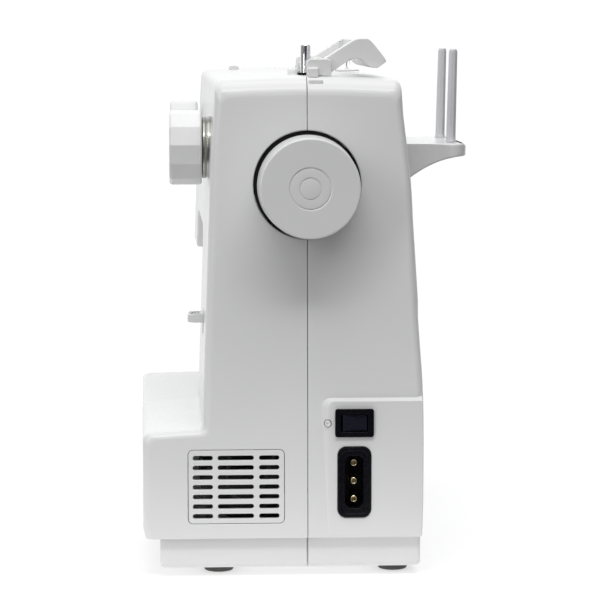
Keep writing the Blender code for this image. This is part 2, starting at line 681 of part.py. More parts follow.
def make_needle_assembly():
    centre = (NEEDLE_X, NEEDLE_Y)
    bar = [(0, 110.0), (3.25, 110.0), (3.25, 273.0), (2.4, 274.0), (0, 274.0)]
    add_mesh("needle_bar", turned(bar, "Z", centre, 14), "chrome")
    ring = [(3.55, 108.0), (6.0, 108.0), (6.0, 118.0), (3.55, 118.0)]
    clamp = add_mesh("needle_clamp", turned(ring, "Z", centre, 14, hollow=True), "chrome")
    screw = prism(circle((NEEDLE_Y, 113.0), 2.2, 10), "X", NEEDLE_X + 5.2, NEEDLE_X + 15.0)
    join(clamp, tool("needle_clamp_screw", screw))
    needle = [(0, 78.0), (0.35, 80.0), (0.6, 84.0), (0.6, 100.0), (1.1, 102.0), (1.1, 109.6), (0, 109.6)]
    add_mesh("needle", turned(needle, "Z", centre, 8), "chrome")
    block_ring = [(3.55, 208.0), (6.5, 208.0), (6.5, 218.0), (3.55, 218.0)]
    link = add_mesh("needle_link", turned(block_ring, "Z", centre, 14, hollow=True), "steel")
    join(link, tool("link_arm", block((-313.0, -306.2), (-5.0, 1.0), (209.0, 217.0))))
    join(link, tool("link_plate", block((-309.0, -306.2), (-4.8, 4.8), (209.4, 242.0))))


def make_presser_assembly():
    bar = [(0, 90.0), (3.5, 90.0), (3.5, 258.0), (2.6, 259.0), (0, 259.0)]
    shank = add_mesh("presser_bar", turned(bar, "Z", (NEEDLE_X, PRESSER_Y), 14), "chrome")
    join(shank, tool("ankle_body", block((NEEDLE_X - 5.0, NEEDLE_X + 5.0), (7.0, 18.5), (84.0, 98.0))))
    for side in (-1, 1):
        span = sorted((NEEDLE_X + side * 1.9, NEEDLE_X + side * 4.8))
        join(shank, tool("ankle_cheek", block(span, (6.0, 12.5), (75.0, 86.0))))
    pin = prism(circle(FOOT_PIVOT, 1.0, 8), "X", NEEDLE_X - 3.0, NEEDLE_X + 3.0)
    join(shank, tool("ankle_pin", pin))

    pivot = (NEEDLE_X, *FOOT_PIVOT)
    sole = [(11.5, 70.3), (11.5, 72.0), (-12.0, 72.0), (-17.0, 74.5), (-18.2, 74.0), (-13.0, 70.3)]
    foot = add_mesh("presser_foot", prism(sole, "X", NEEDLE_X - 8.5, NEEDLE_X + 8.5), "chrome", pivot)
    tongue = [(6.0, 71.0), (12.0, 71.0)] + arc(FOOT_PIVOT, 3.0, 0, 180, 6)
    join(foot, tool("foot_tongue", prism(tongue, "X", NEEDLE_X - 1.5, NEEDLE_X + 1.5)))
    pin_hole = prism(circle(FOOT_PIVOT, 1.35, 10), "X", NEEDLE_X - 4.0, NEEDLE_X + 4.0)
    cut(foot, tool("foot_pin_hole", pin_hole))
    cut(foot, tool("foot_needle_slot", block((NEEDLE_X - 2.2, NEEDLE_X + 2.2), (-9.0, 1.5), (65.0, 80.0))))

    x, z = PRESSER_LEVER_PIVOT
    tip = [(x - 1.0, z - 18.0), (x + 8.0, z - 33.0), (x + 13.5, z - 31.0)]
    arm = arc((x, z), 6.0, -20.6, 159.4, 8) + tip
    add_mesh("presser_lever", prism(arm, "Y", 30.6, 35.6), "white", (x, 33.0, z))


def make_take_up_lever():
    y, z = TAKE_UP_PIVOT
    tip = [(y - 26.0, z + 40.0), (y - 30.0, z + 41.5), (y - 33.0, z + 38.0)]
    outline = arc((y, z), 5.0, 215, 400, 8) + tip
    span = (TAKE_UP_X - 1.0, TAKE_UP_X + 1.0)
    lever = add_mesh("take_up_lever", prism(outline, "X", *span), "chrome", (TAKE_UP_X, y, z))
    eye = prism(circle((y - 29.4, z + 37.4), 1.3, 8), "X", TAKE_UP_X - 4.0, TAKE_UP_X + 4.0)
    cut(lever, tool("take_up_eye", eye))


def make_feed():
    bar = add_mesh("feed_bar", block((-329.5, -306.0), (-14.0, 22.0), (57.8, 60.0)), "steel")
    dog = add_mesh("feed_dog", block((-327.0, -309.0), (-12.5, 12.5), (61.8, 65.0)), "steel")
    teeth = [(-12.0, 64.0)]
    for i in range(8):
        teeth += [(-12.0 + i * 3.0, 69.0), (-10.2 + i * 3.0, 69.8)]
    teeth += [(12.0, 69.0), (12.0, 64.0)]
    for left in (-326.0, -313.0):
        join(dog, tool("feed_teeth", prism(teeth, "X", left, left + 3.0)))
    for part in (bar, dog):
        way = block((NEEDLE_X - 3.0, NEEDLE_X + 3.0), (-8.0, 4.0), (50.0, 75.0))
        cut(part, tool(part.name + "_needle_way", way))
    plate = prism(rounded_rect((-341.0, -296.0), (-26.0, 30.0), 4.0, 3), "Z", 67.4, 69.0)
    plate = add_mesh("needle_plate", plate, "steel")
    for left in (-326.8, -313.8):
        cut(plate, tool("feed_slot", block((left, left + 4.6), (-16.0, 16.0), (60.0, 75.0))))
    cut(plate, tool("needle_hole", prism(circle((NEEDLE_X, NEEDLE_Y), 1.6, 12), "Z", 60.0, 75.0)))


def make_lamp():
    bulb = [(0, 170.0), (4.0, 171.0), (6.6, 175.0), (7.0, 182.0), (5.0, 188.0), (5.0, 198.0), (0, 198.0)]
    add_mesh("lamp", turned(bulb, "Z", (-299.0, -37.0), 16), "lamp")


# ---------------------------------------------------------------- controls

def make_pattern_dial():
    x, z = PATTERN_DIAL
    knob = [(0, -76.4), (12.5, -76.4), (13.0, -77.2), (19.9, -77.2), (21.5, -75.8), (21.5, -60.2)]
    stem = [(20.0, -58.6), (4.4, -58.6), (4.4, -44.0), (13.0, -44.0), (13.0, -30.0), (0, -30.0)]
    dial = turned(knob + stem, "Y", (x, z), PATTERN_FACETS, phase=PATTERN_FACET_START)
    add_mesh("pattern_dial", dial, "white", (x, -60.0, z))


def make_tension_dial():
    x, z = TENSION_DIAL
    knob = [(0, -76.3), (10.0, -76.3), (10.5, -77.0), (15.8, -77.0), (17.1, -75.6), (17.1, -60.0)]
    stem = [(15.9, -58.4), (3.4, -58.4), (3.4, -40.0), (0, -40.0)]
    add_mesh("tension_dial", turned(knob + stem, "Y", (x, z), TENSION_FACETS), "white", (x, -60.0, z))


def make_reverse_lever():
    low = REVERSE_Z - REVERSE_HALF_THICK
    high = REVERSE_Z + REVERSE_HALF_THICK
    tip = [(-66.0, high), (-67.1, high - 1.2), (-67.1, low + 1.2), (-66.0, low)]
    side = [(-26.0, low), (-26.0, high)] + tip
    lever = prism(side, "X", REVERSE_X - REVERSE_HALF_WIDTH, REVERSE_X + REVERSE_HALF_WIDTH)
    add_mesh("reverse_lever", lever, "white", (REVERSE_X, REVERSE_PIVOT_Y, REVERSE_Z))


def make_switch():
    y, z = SWITCH_CENTRE
    half_y, half_z = SWITCH_HALF
    flange = prism(rounded_rect((y - half_y, y + half_y), (z - half_z, z + half_z), 1.4, 2), "X", 0.5, 1.7)
    bezel = add_mesh("switch_bezel", flange, "black")
    join(bezel, tool("switch_body", block((-12.0, 1.0), (y - 9.3, y + 9.3), (z - 6.4, z + 6.4))))
    cut(bezel, tool("switch_pocket", block((-10.5, 4.0), (y - 7.7, y + 7.7), (z - 5.1, z + 5.1))))
    outline = []
    for along, out in [(-4.8, -5.0), (4.8, -5.0), (7.0, 2.0), (0.0, 0.9), (-7.0, 2.0)]:
        x = out * math.cos(SWITCH_TILT) - along * math.sin(SWITCH_TILT) - 1.0
        outline.append((x, y + along * math.cos(SWITCH_TILT) + out * math.sin(SWITCH_TILT)))
    add_mesh("switch_rocker", prism(outline, "Z", z - 4.7, z + 4.7), "black", (-1.0, y, z))


def make_inlet():
    y, z = INLET_CENTRE
    half_y, half_z = INLET_HALF
    body = prism(rounded_rect((y - half_y, y + half_y), (z - half_z, z + half_z), 4.6), "X", -20.0, 1.0)
    housing = add_mesh("inlet_housing", body, "black")
    well = [(y + 5.2, z + 13.0), (y + 3.2, z + 15.0), (y - 3.2, z + 15.0), (y - 5.2, z + 13.0)]
    well += [(y - 5.2, z - 12.0), (y - 2.6, z - 15.0), (y + 2.6, z - 15.0), (y + 5.2, z - 12.0)]
    cut(housing, tool("inlet_well", prism(well, "X", -16.0, 5.0)))
    pins = add_mesh("inlet_pins", block((-22.2, -20.3), (y - 2.6, y + 2.6), (z - 13.5, z + 13.5)), "brass")
    for i in (-1, 0, 1):
        centre = (y, z + i * INLET_PITCH)
        hole = prism(circle(centre, INLET_PIN_RADIUS + 0.35, 12), "X", -24.0, -14.0)
        cut(housing, tool("pin_hole", hole))
        join(pins, tool("pin", prism(circle(centre, INLET_PIN_RADIUS, 12), "X", -21.0, -4.6)))


def make_screw_plug():
    profile = [(0, -6.0), (1.85, -6.0), (1.85, 0.3), (1.4, 0.7), (0, 0.7)]
    add_mesh("screw_plug", turned(profile, "X", SCREW_CENTRE, 12), "trim")


def make_vent_grille():
    """Panel that follows the leaning end face, with three columns of slots."""
    outline = rounded_rect((VENT_Y[0] + GAP, VENT_Y[1] - GAP), (VENT_Z[0] + GAP, VENT_Z[1] - GAP), 2.7)
    rings = []
    for depth in (0.3, 3.0):
        rings.append([(-depth - (z - COVER_FOOT_Z) * END_LEAN, y, z) for y, z in outline])
    grille = add_mesh("vent_grille", loft(rings), "white")
    slots = bmesh.new()
    for row in range(VENT_ROWS):
        low = VENT_FIRST_Z + VENT_PITCH * row - VENT_SLOT_HIGH / 2
        for column in VENT_COLUMNS:
            slot = bpy.data.meshes.new("slot")
            piece = block((-9.0, 4.0), column, (low, low + VENT_SLOT_HIGH))
            piece.to_mesh(slot)
            piece.free()
            slots.from_mesh(slot)
    cut(grille, tool("vent_slots", slots))


# ---------------------------------------------------------------- top fittings

def make_carry_handle():
    y, z = HANDLE_PIVOT
    hub = arc((y, z), 5.2, 55, 325, 12)
    under = [(14.6, 284.2), (17.9, 286.6), (24.1, 290.8), (27.4, 292.0), (30.7, 292.0)]
    under += [(36.0, 288.0), (38.3, 286.9), (41.2, 286.9)]
    over = [(45.9, 290.4), (44.9, 292.7), (37.3, 302.1), (33.6, 303.5), (29.3, 303.3), (26.5, 302.1)]
    bail = add_mesh("carry_handle", prism(hub + under + over, "X", *HANDLE_X), "white", (-88.0, y, z))
    inside = (HANDLE_X[0] + HANDLE_ARM_WIDTH, HANDLE_X[1] - HANDLE_ARM_WIDTH)
    cut(bail, tool("handle_gap", block(inside, (-10.0, 28.0), (270.0, 320.0))))
    cut(bail, tool("handle_pin_bore", prism(circle((y, z), 2.4, 12), "X", -160.0, -10.0)))


def make_handle_brackets():
    y, z = HANDLE_PIVOT
    foot = BODY_TOP_Z + CROWN + GAP
    sides = (("handle_bracket_right", 1, HANDLE_X[1] + 0.6), ("handle_bracket_left", -1, HANDLE_X[0] - 0.6))
    for name, side, inner in sides:
        body = [(y - 6.8, foot), (y + 6.8, foot)]
        body += arc((y + 2.8, z + 0.4), 4.0, 0, 90, 4) + arc((y - 2.8, z + 0.4), 4.0, 90, 180, 4)
        bracket = add_mesh(name, prism(body, "X", *sorted((inner, inner + side * 9.0))), "grey")
        lug = block(sorted((inner + side * 8.0, inner + side * 12.0)), (y - 6.4, y - 0.7), (foot, 287.0))
        join(bracket, tool(name + "_lug", lug))
        pin = sorted((inner + side * 2.0, inner - side * (HANDLE_ARM_WIDTH - 1.0)))
        join(bracket, tool(name + "_pin", prism(circle((y, z), 2.0, 12), "X", *pin)))


def make_spool_stand():
    back = BRACKET_BACK_Y
    top = BRACKET_TOP_Z
    reach = back - BRACKET_ROOT_Y
    outline = []
    for step in range(7):
        share = 1.0 - step / 6
        outline.append((back - share * reach, BRACKET_UNDER_Z - BRACKET_DROP * share * share))
    outline += [(back, top - 1.5), (back - 1.5, top), (57.4, top)]
    stand = add_mesh("spool_bracket", prism(outline, "X", *BRACKET_X), "white")
    radius = BRACKET_CORNER_RADIUS
    plan = [(BRACKET_X[1], 40.0)] + arc((BRACKET_X[1] - radius, back - radius), radius, 0, 90, 5)
    plan += arc((BRACKET_X[0] + radius, back - radius), radius, 90, 180, 5) + [(BRACKET_X[0], 40.0)]
    boolean(stand, tool("stand_plan", prism(plan, "Z", 200.0, 260.0)), "INTERSECT")
    for name, x in zip(("spool_pin_right", "spool_pin_left"), SPOOL_X):
        rings = []
        profile = [(3.2, top + GAP), (2.6, top + 2.2), (2.4, 292.0)]
        profile += [(2.1, 295.6), (1.3, 297.0), (0.6, 297.4)]
        for radius, z in profile:
            centre = (x, SPOOL_Y + (z - top) * SPOOL_LEAN)
            rings.append([(a, b, z) for a, b in circle(centre, radius, SPOOL_FACETS, 180.0 / SPOOL_FACETS)])
        add_mesh(name, loft(rings), "grey")


def make_thread_guides():
    disc = [(0, 282.2), (8.0, 282.2), (8.0, 283.0), (2.4, 283.6), (1.0, 284.2)]
    button = [(1.0, 286.6), (2.2, 287.0), (2.2, 287.8), (1.0, 288.4), (0, 288.4)]
    add_mesh("thread_guide", turned(disc + button, "Z", (-220.0, 36.6), 16), "chrome")
    nub = [(-37.5, 282.1), (-37.5, 283.2), (-36.0, 284.2), (-32.0, 284.2), (-30.7, 283.2), (-30.7, 282.1)]
    add_mesh("head_thread_guide", prism(nub, "X", -313.0, -301.0), "chrome")


def make_bobbin_winder():
    collar = [(3.4, 262.0), (7.0, 262.0), (7.0, 264.0), (4.2, 264.6)]
    flange = [(4.2, 282.9), (6.5, 282.9), (6.5, 284.3), (3.4, 284.3)]
    add_mesh("winder_sleeve", turned(collar + flange, "Z", WINDER, 16, hollow=True), "grey")
    roller = [(0, 249.0), (10.0, 249.0), (10.0, 255.0), (2.8, 255.6)]
    shaft = [(2.8, 290.0), (2.4, 291.0), (2.8, 292.0), (2.8, 298.7), (1.9, 299.7), (0, 299.7)]
    add_mesh("winder_spindle", turned(roller + shaft, "Z", WINDER, 16), "chrome", (*WINDER, 270.0))


clear_scene()
PALETTE = make_palette()
FRAME = bpy.data.objects.new("machine_frame", None)
FRAME.location = ORIGIN_SHIFT
bpy.context.scene.collection.objects.link(FRAME)

make_front_cover()
make_rear_cover()
make_face_cover()
make_free_arm()
make_shuttle_flap()
make_base_pan()
make_feet()
make_tray()
make_chassis()
make_upper_drive()
make_lower_drive()
make_motor()
make_belts()
make_needle_assembly()
make_presser_assembly()
make_take_up_lever()
make_feed()
make_lamp()
make_pattern_dial()
make_tension_dial()
make_reverse_lever()
make_switch()
make_inlet()
make_screw_plug()
make_vent_grille()
make_carry_handle()
make_handle_brackets()
make_spool_stand()
make_thread_guides()
make_bobbin_winder()
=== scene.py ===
import json
from math import cos, radians, sin, sqrt, tan, tau

import bmesh
import bpy
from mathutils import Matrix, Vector


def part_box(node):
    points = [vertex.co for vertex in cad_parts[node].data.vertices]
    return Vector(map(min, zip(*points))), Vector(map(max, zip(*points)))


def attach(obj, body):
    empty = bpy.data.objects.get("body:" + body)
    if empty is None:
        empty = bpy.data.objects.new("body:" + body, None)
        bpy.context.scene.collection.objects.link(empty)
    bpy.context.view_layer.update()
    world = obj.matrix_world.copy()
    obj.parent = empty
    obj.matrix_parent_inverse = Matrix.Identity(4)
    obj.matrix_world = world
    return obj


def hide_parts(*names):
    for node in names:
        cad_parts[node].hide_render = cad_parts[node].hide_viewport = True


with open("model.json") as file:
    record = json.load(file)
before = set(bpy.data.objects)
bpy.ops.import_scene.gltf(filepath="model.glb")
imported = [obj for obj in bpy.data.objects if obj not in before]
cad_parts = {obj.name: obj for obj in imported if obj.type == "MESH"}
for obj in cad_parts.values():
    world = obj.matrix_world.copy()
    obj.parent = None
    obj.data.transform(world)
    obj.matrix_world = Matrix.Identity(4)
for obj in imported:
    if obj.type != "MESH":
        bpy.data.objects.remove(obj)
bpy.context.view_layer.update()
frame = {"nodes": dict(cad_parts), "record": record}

MM = 0.001
WELD_DISTANCE = 0.004 * MM
FLAT_ANGLE = radians(0.25)
GAP = 0.3
WALL = 2.5
BODIES = frame["record"]["behaviour"]["bodies"]
BODY_OF = {node: body for body, nodes in BODIES.items() for node in nodes}

# Datum of the machine, in millimetres: X = 0 is the right-hand end at its foot, Y = 0 the cover seam
WHEEL_FACE_X = 28.0
BRACKET_BACK_Y = 94.1
SHIFT = Vector((
    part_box("handwheel")[1].x / MM - WHEEL_FACE_X,
    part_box("spool_bracket")[1].y / MM - BRACKET_BACK_Y,
    0.0,
))

# Body shell
TRAY_LEFT_X = -362.0
FRONT_FLARE = 0.0115
COVER_FOOT_Z = 22.7
FLARE_TOP_Z = 29.0
FLARE_EDGE_Z = 27.8
FLARE_EDGE_IN = 0.25
FLARE_FOOT_IN = 1.5
BODY_TOP_Z = 281.0
CROWN = 1.5
CROWN_STEPS = ((32.0, 0.5), (16.0, 0.87))  # distance from the seam, share of the crown
SEAM_HALF = 0.15
END_LEAN = tan(radians(2.0))
LEAN_FULL_TO = 12.0
LEAN_STATIONS = (18.0, 30.0, 45.0)
LEAN_GONE_AT = 60.0
END_SIDE_RADIUS = 4.5
END_TOP_RADIUS = 11.5
BASE_FRONT_Y = -93.0
SHELF_Z = 83.0
SHELF_RISE = 1.3
SHELF_EDGE_RADIUS = 5.0
SHELF_FILLET = 4.0
TOP_EDGE_RADIUS = 5.2
FRONT_TOP_IN = 0.6
BACK_TOP_IN = 0.8
COLUMN_LEFT_X = -118.0
HARP_LEFT_X = -270.0
ARM_UNDER_Z = 190.0
HEAD_UNDER_Z = 165.0
HARP_RADIUS = 14.0
HEAD_CORNER_RADIUS = 7.0
HARP_FOOT_Z = -20.0
PAST_LEFT_X = -400.0
COVER_LEFT_X = -338.0
HEAD_LEFT_X = -355.0
HEAD_RADIUS = 8.0
FRONT_CURVE = [(88.0, -59.0), (113.0, -58.4), (168.0, -56.5), (237.0, -54.0), (261.0, -52.2)]
BACK_CURVE = [(22.7, 65.2), (47.0, 65.9), (101.0, 65.7), (147.0, 62.7), (195.0, 60.1),
              (225.0, 58.4), (261.0, 54.2)]

# Free arm, base and tray
ARM_PASSAGE = ((-122.0, -113.0), (-29.0, 58.0), (5.0, 65.5))
ARM_FRONT_Y = -33.0
ARM_BACK_Y = 62.0
ARM_TOP_Z = 69.0
ARM_LEFT_X = -344.0
FLAP_LEFT_X = -352.0
FLAP_RADIUS = 4.0
TRAY_RADIUS = 3.0
PLATE_X = (-341.0, -296.0)
PLATE_Y = (-26.0, 30.0)
PLATE_RADIUS = 4.0
BASE_Z = (4.8, 22.4)
BASE_RADIUS = 3.0
BASE_END_RADIUS = 2.5
FOOT_PLACES = {
    "foot_front_right": (-25.0, -50.0), "foot_back_right": (-25.0, 50.0),
    "foot_front_left": (-325.0, -19.0), "foot_back_left": (-325.0, 48.0),
}

# Shafts and head
SHAFT_Z = 222.0
WELL_RADIUS = 30.3
WELL_RIM_RADIUS = 0.9
WELL_FLOOR_X = -16.0
NEEDLE = (-318.0, -2.0)
PRESSER_Y = 14.0
FOOT_PIVOT = (9.0, 77.0)
TAKE_UP_X = -328.0
PRESSER_LEVER_PIVOT = (-300.0, 172.0)

# Controls and fittings
PATTERN_DIAL = (-55.0, 241.0)
TENSION_DIAL = (-290.0, 244.0)
REVERSE_X = -55.0
REVERSE_Z = 142.7
HANDLE_PIVOT = (7.4, 287.7)
HANDLE_X = (-147.0, -29.0)
HANDLE_ARM_WIDTH = 12.0
WINDER = (-60.0, 1.6)
WINDER_SLOT = ((-64.8, -50.2), (-3.2, 6.4))
THREAD_GUIDE = (-220.0, 36.6)
SPOOL_X = (-62.0, -122.0)
SPOOL_Y = 86.4
BRACKET_X = (-139.0, -45.0)
BRACKET_TOP_Z = 243.2
BRACKET_UNDER_Z = 235.8
BRACKET_DROP = 14.0
BRACKET_ROOT_Y = 59.1
BRACKET_CORNER = 9.0
SPOOL_PIN_LEAN = tan(radians(1.2))
PANEL_FACE_X = -0.05
PANEL_FOOT_X = -5.0
PANEL_Y = (10.6, 80.0)
PANEL_Z = (10.0, 100.9)
SWITCH_CENTRE = (26.15, 88.4)
SWITCH_HOLE = ((16.5, 35.8), (81.7, 95.2))
INLET_CENTRE = (26.2, 54.5)
INLET_HOLE = ((16.7, 35.8), (34.2, 74.8))
VENT_Y = (-67.7, -13.0)
VENT_Z = (31.1, 73.3)
VENT_COLUMNS = ((-64.9, -53.6), (-50.8, -30.5), (-27.5, -16.1))
VENT_ROWS = 7
VENT_FIRST_ROW_Z = 35.5
VENT_PITCH = 5.5
VENT_SLOT_HALF = 1.35
PLUG_CENTRE = (11.2, 88.0)
PIN_PITCH = 10.4

# How far cutting tools reach through the walls they open
END_CUT = (-12.0, 4.0)
VENT_CUT = (-9.0, 4.0)
FRONT_CUT = (-75.0, -45.0)
DIAL_CUT = (-70.0, -45.0)
BED_CUT = (60.0, 75.0)


# ---- camera, light and floor

CAMERA_PLACE = (1400.0, -74.1, 309.3)
CAMERA_PITCH = radians(6.27)
CAMERA_YAW = radians(2.96)
CAMERA_LENS = 148.72
CAMERA_SENSOR = 36.0
CAMERA_REACH = 100.0
ROOM_LIGHT = 0.06
# Direction, where its light starts and where it is full, and its strength
DOME_LIGHTS = (("Z", 0.0, 1.0, 0.33), ("X", -0.25, -0.9, 0.95), ("Y", 0.0, -1.0, 0.27))
DOME_COLOUR = (0.985, 0.99, 1.0, 1.0)
BACKGROUND_WHITE = 1.02
MACHINE_MIDDLE = (0.0, 0.0, 0.3)
FLOOR_RADIUS = 0.32
FLOOR_DROP = 0.0002
FLOOR_GLOW = 0.56


def add_object(name, data):
    """A new object, linked to the scene."""
    thing = bpy.data.objects.new(name, data)
    bpy.context.scene.collection.objects.link(thing)
    return thing


def make_camera():
    data = bpy.data.cameras.new("studio_camera")
    data.lens = CAMERA_LENS
    data.sensor_width = CAMERA_SENSOR
    data.clip_end = CAMERA_REACH
    camera = add_object("studio_camera", data)
    camera.location = (Vector(CAMERA_PLACE) + SHIFT) * MM
    flat = cos(CAMERA_PITCH)
    aim = (-cos(CAMERA_YAW) * flat, sin(CAMERA_YAW) * flat, -sin(CAMERA_PITCH))
    camera.rotation_euler = Vector(aim).to_track_quat("-Z", "Y").to_euler()
    bpy.context.scene.camera = camera


def fill(node, values):
    """Sets the values of a node's named inputs."""
    for name, value in values.items():
        node.inputs[name].default_value = value


def make_world():
    """White to the camera; to all else a dim room, lighter above, at the head end and in front."""
    world = bpy.data.worlds.new("studio")
    bpy.context.scene.world = world
    world.use_nodes = True
    tree = world.node_tree
    tree.nodes.clear()
    make, link = tree.nodes.new, tree.links.new
    place = make("ShaderNodeTexCoord")
    parts = make("ShaderNodeSeparateXYZ")
    link(place.outputs["Generated"], parts.inputs[0])
    total = None
    for axis, start, end, strength in DOME_LIGHTS:
        part = make("ShaderNodeMapRange")
        part.interpolation_type = "SMOOTHSTEP"
        fill(part, {"From Min": start, "From Max": end, "To Max": strength})
        link(parts.outputs[axis], part.inputs["Value"])
        add = make("ShaderNodeMath")
        add.operation = "ADD"
        link(part.outputs["Result"], add.inputs[0])
        if total is None:
            add.inputs[1].default_value = ROOM_LIGHT
        else:
            link(total, add.inputs[1])
        total = add.outputs[0]
    dome = make("ShaderNodeBackground")
    fill(dome, {"Color": DOME_COLOUR})
    link(total, dome.inputs["Strength"])
    white = make("ShaderNodeBackground")
    fill(white, {"Color": (1.0, 1.0, 1.0, 1.0), "Strength": BACKGROUND_WHITE})
    path = make("ShaderNodeLightPath")
    mix = make("ShaderNodeMixShader")
    out = make("ShaderNodeOutputWorld")
    link(path.outputs["Is Camera Ray"], mix.inputs["Fac"])
    link(dome.outputs[0], mix.inputs[1])
    link(white.outputs[0], mix.inputs[2])
    link(mix.outputs[0], out.inputs["Surface"])


def add_light(name, kind, place, target, energy, **settings):
    data = bpy.data.lights.new(name, kind)
    data.energy = energy
    for key, value in settings.items():
        setattr(data, key, value)
    light = add_object(name, data)
    light.visible_camera = False
    light.location = place
    light.rotation_euler = (Vector(target) - Vector(place)).to_track_quat("-Z", "Y").to_euler()


def make_lights():
    add_light("overhead", "SUN", (0.26, 0.02, 1.2), (0.0, 0.0, 0.0), 1.36, angle=radians(60.0))
    add_light("high_strip", "AREA", (1.1, 0.0, 1.45), MACHINE_MIDDLE, 6.6,
              shape="RECTANGLE", size=1.4, size_y=0.24)
    add_light("fill_box", "AREA", (1.9, -0.25, 0.95), MACHINE_MIDDLE, 1.1,
              shape="RECTANGLE", size=0.9, size_y=0.9)
    add_light("side_strip", "AREA", (1.2, -0.85, 0.8), (0.1, -0.05, 0.15), 3.0,
              shape="RECTANGLE", size=0.10, size_y=0.9)


def make_floor():
    bm = bmesh.new()
    bmesh.ops.create_circle(bm, cap_ends=True, segments=128, radius=FLOOR_RADIUS)
    mesh = bpy.data.meshes.new("floor")
    bm.to_mesh(mesh)
    bm.free()
    mesh.materials.append(floor_material())
    floor = add_object("floor", mesh)
    floor.location = (0.0, 0.0, -FLOOR_DROP)


def set_view():
    view = bpy.context.scene.view_settings
    view.view_transform = "Standard"
    view.look = "None"
    view.exposure = 0.0
    view.gamma = 1.0


# ---- materials

# Noise scales are in waves per metre, depths in metres
DRIFT_SCALE = 18.0
SPECK_SCALE = 420.0
RIPPLE_SCALE = 30.0
RIPPLE_DEPTH = 6e-5
TONE_SCALE = 60.0


def start_material(name):
    material = bpy.data.materials.new(name)
    material.use_nodes = True
    return material, material.node_tree, material.node_tree.nodes["Principled BSDF"]


def noise(tree, scale, detail, stretch=(1.0, 1.0, 1.0)):
    """Noise in the piece's own coordinates, which are metres."""
    place = tree.nodes.new("ShaderNodeTexCoord")
    spread = tree.nodes.new("ShaderNodeMapping")
    fill(spread, {"Scale": stretch})
    texture = tree.nodes.new("ShaderNodeTexNoise")
    fill(texture, {"Scale": scale, "Detail": detail})
    tree.links.new(place.outputs["Object"], spread.inputs["Vector"])
    tree.links.new(spread.outputs["Vector"], texture.inputs["Vector"])
    return texture.outputs["Fac"]


def vary(tree, source, low, high, start=0.3, end=0.7):
    """Maps noise to the span low..high."""
    node = tree.nodes.new("ShaderNodeMapRange")
    fill(node, {"From Min": start, "From Max": end, "To Min": low, "To Max": high})
    tree.links.new(source, node.inputs["Value"])
    return node.outputs["Result"]


def tint(tree, factor, low, high):
    node = tree.nodes.new("ShaderNodeMix")
    node.data_type = "RGBA"
    fill(node, {"A": (*low, 1.0), "B": (*high, 1.0)})
    tree.links.new(factor, node.inputs["Factor"])
    return node.outputs["Result"]


def bump(tree, height, distance, strength, below=None):
    node = tree.nodes.new("ShaderNodeBump")
    fill(node, {"Strength": strength, "Distance": distance})
    tree.links.new(height, node.inputs["Height"])
    if below is not None:
        tree.links.new(below, node.inputs["Normal"])
    return node.outputs["Normal"]


def plastic(name, colour, shade, rough, grain, depth, ior=1.49):
    """Moulded plastic: two tones that drift over the surface, a fine grain and a slow ripple."""
    material, tree, shader = start_material(name)
    drift = noise(tree, DRIFT_SCALE, 2.0)
    specks = noise(tree, SPECK_SCALE, 2.0)
    both = tree.nodes.new("ShaderNodeMath")
    both.operation = "MULTIPLY"
    tree.links.new(vary(tree, drift, 0.0, 1.0), both.inputs[0])
    tree.links.new(vary(tree, specks, 0.8, 1.0), both.inputs[1])
    tree.links.new(tint(tree, both.outputs[0], shade, colour), shader.inputs["Base Color"])
    tree.links.new(vary(tree, specks, rough[0], rough[1]), shader.inputs["Roughness"])
    ripple = bump(tree, noise(tree, RIPPLE_SCALE, 1.0), RIPPLE_DEPTH, 0.2)
    fine = bump(tree, noise(tree, grain, 3.0), depth, 0.35, ripple)
    tree.links.new(fine, shader.inputs["Normal"])
    fill(shader, {"IOR": ior})
    return material


def metal(name, colour, shade, rough, stretch=(1.0, 1.0, 1.0), grain=1500.0, depth=4e-6):
    """Metal with a drifting tone and fine polishing marks drawn out along one direction."""
    material, tree, shader = start_material(name)
    marks = noise(tree, grain, 4.0, stretch)
    drift = noise(tree, TONE_SCALE, 2.0)
    tree.links.new(tint(tree, vary(tree, drift, 0.0, 1.0), shade, colour), shader.inputs["Base Color"])
    tree.links.new(vary(tree, marks, rough[0], rough[1]), shader.inputs["Roughness"])
    tree.links.new(bump(tree, marks, depth, 0.6), shader.inputs["Normal"])
    fill(shader, {"Metallic": 1.0})
    return material


def lamp_material():
    material, tree, shader = start_material("lamp_glass")
    cloud = noise(tree, 120.0, 2.0)
    tone = tint(tree, vary(tree, cloud, 0.0, 1.0), (0.80, 0.77, 0.68), (0.92, 0.90, 0.84))
    tree.links.new(tone, shader.inputs["Base Color"])
    tree.links.new(vary(tree, cloud, 0.12, 0.22), shader.inputs["Roughness"])
    fill(shader, {"Coat Weight": 0.5})
    return material


def floor_material():
    material, tree, shader = start_material("studio_floor")
    tone = tint(tree, noise(tree, 3.0, 2.0), (0.48, 0.48, 0.48), (0.50, 0.50, 0.50))
    tree.links.new(tone, shader.inputs["Base Color"])
    fill(shader, {"Emission Color": (1.0, 1.0, 1.0, 1.0), "Emission Strength": FLOOR_GLOW})
    fill(shader, {"Roughness": 0.9, "Specular IOR Level": 0.1})
    return material


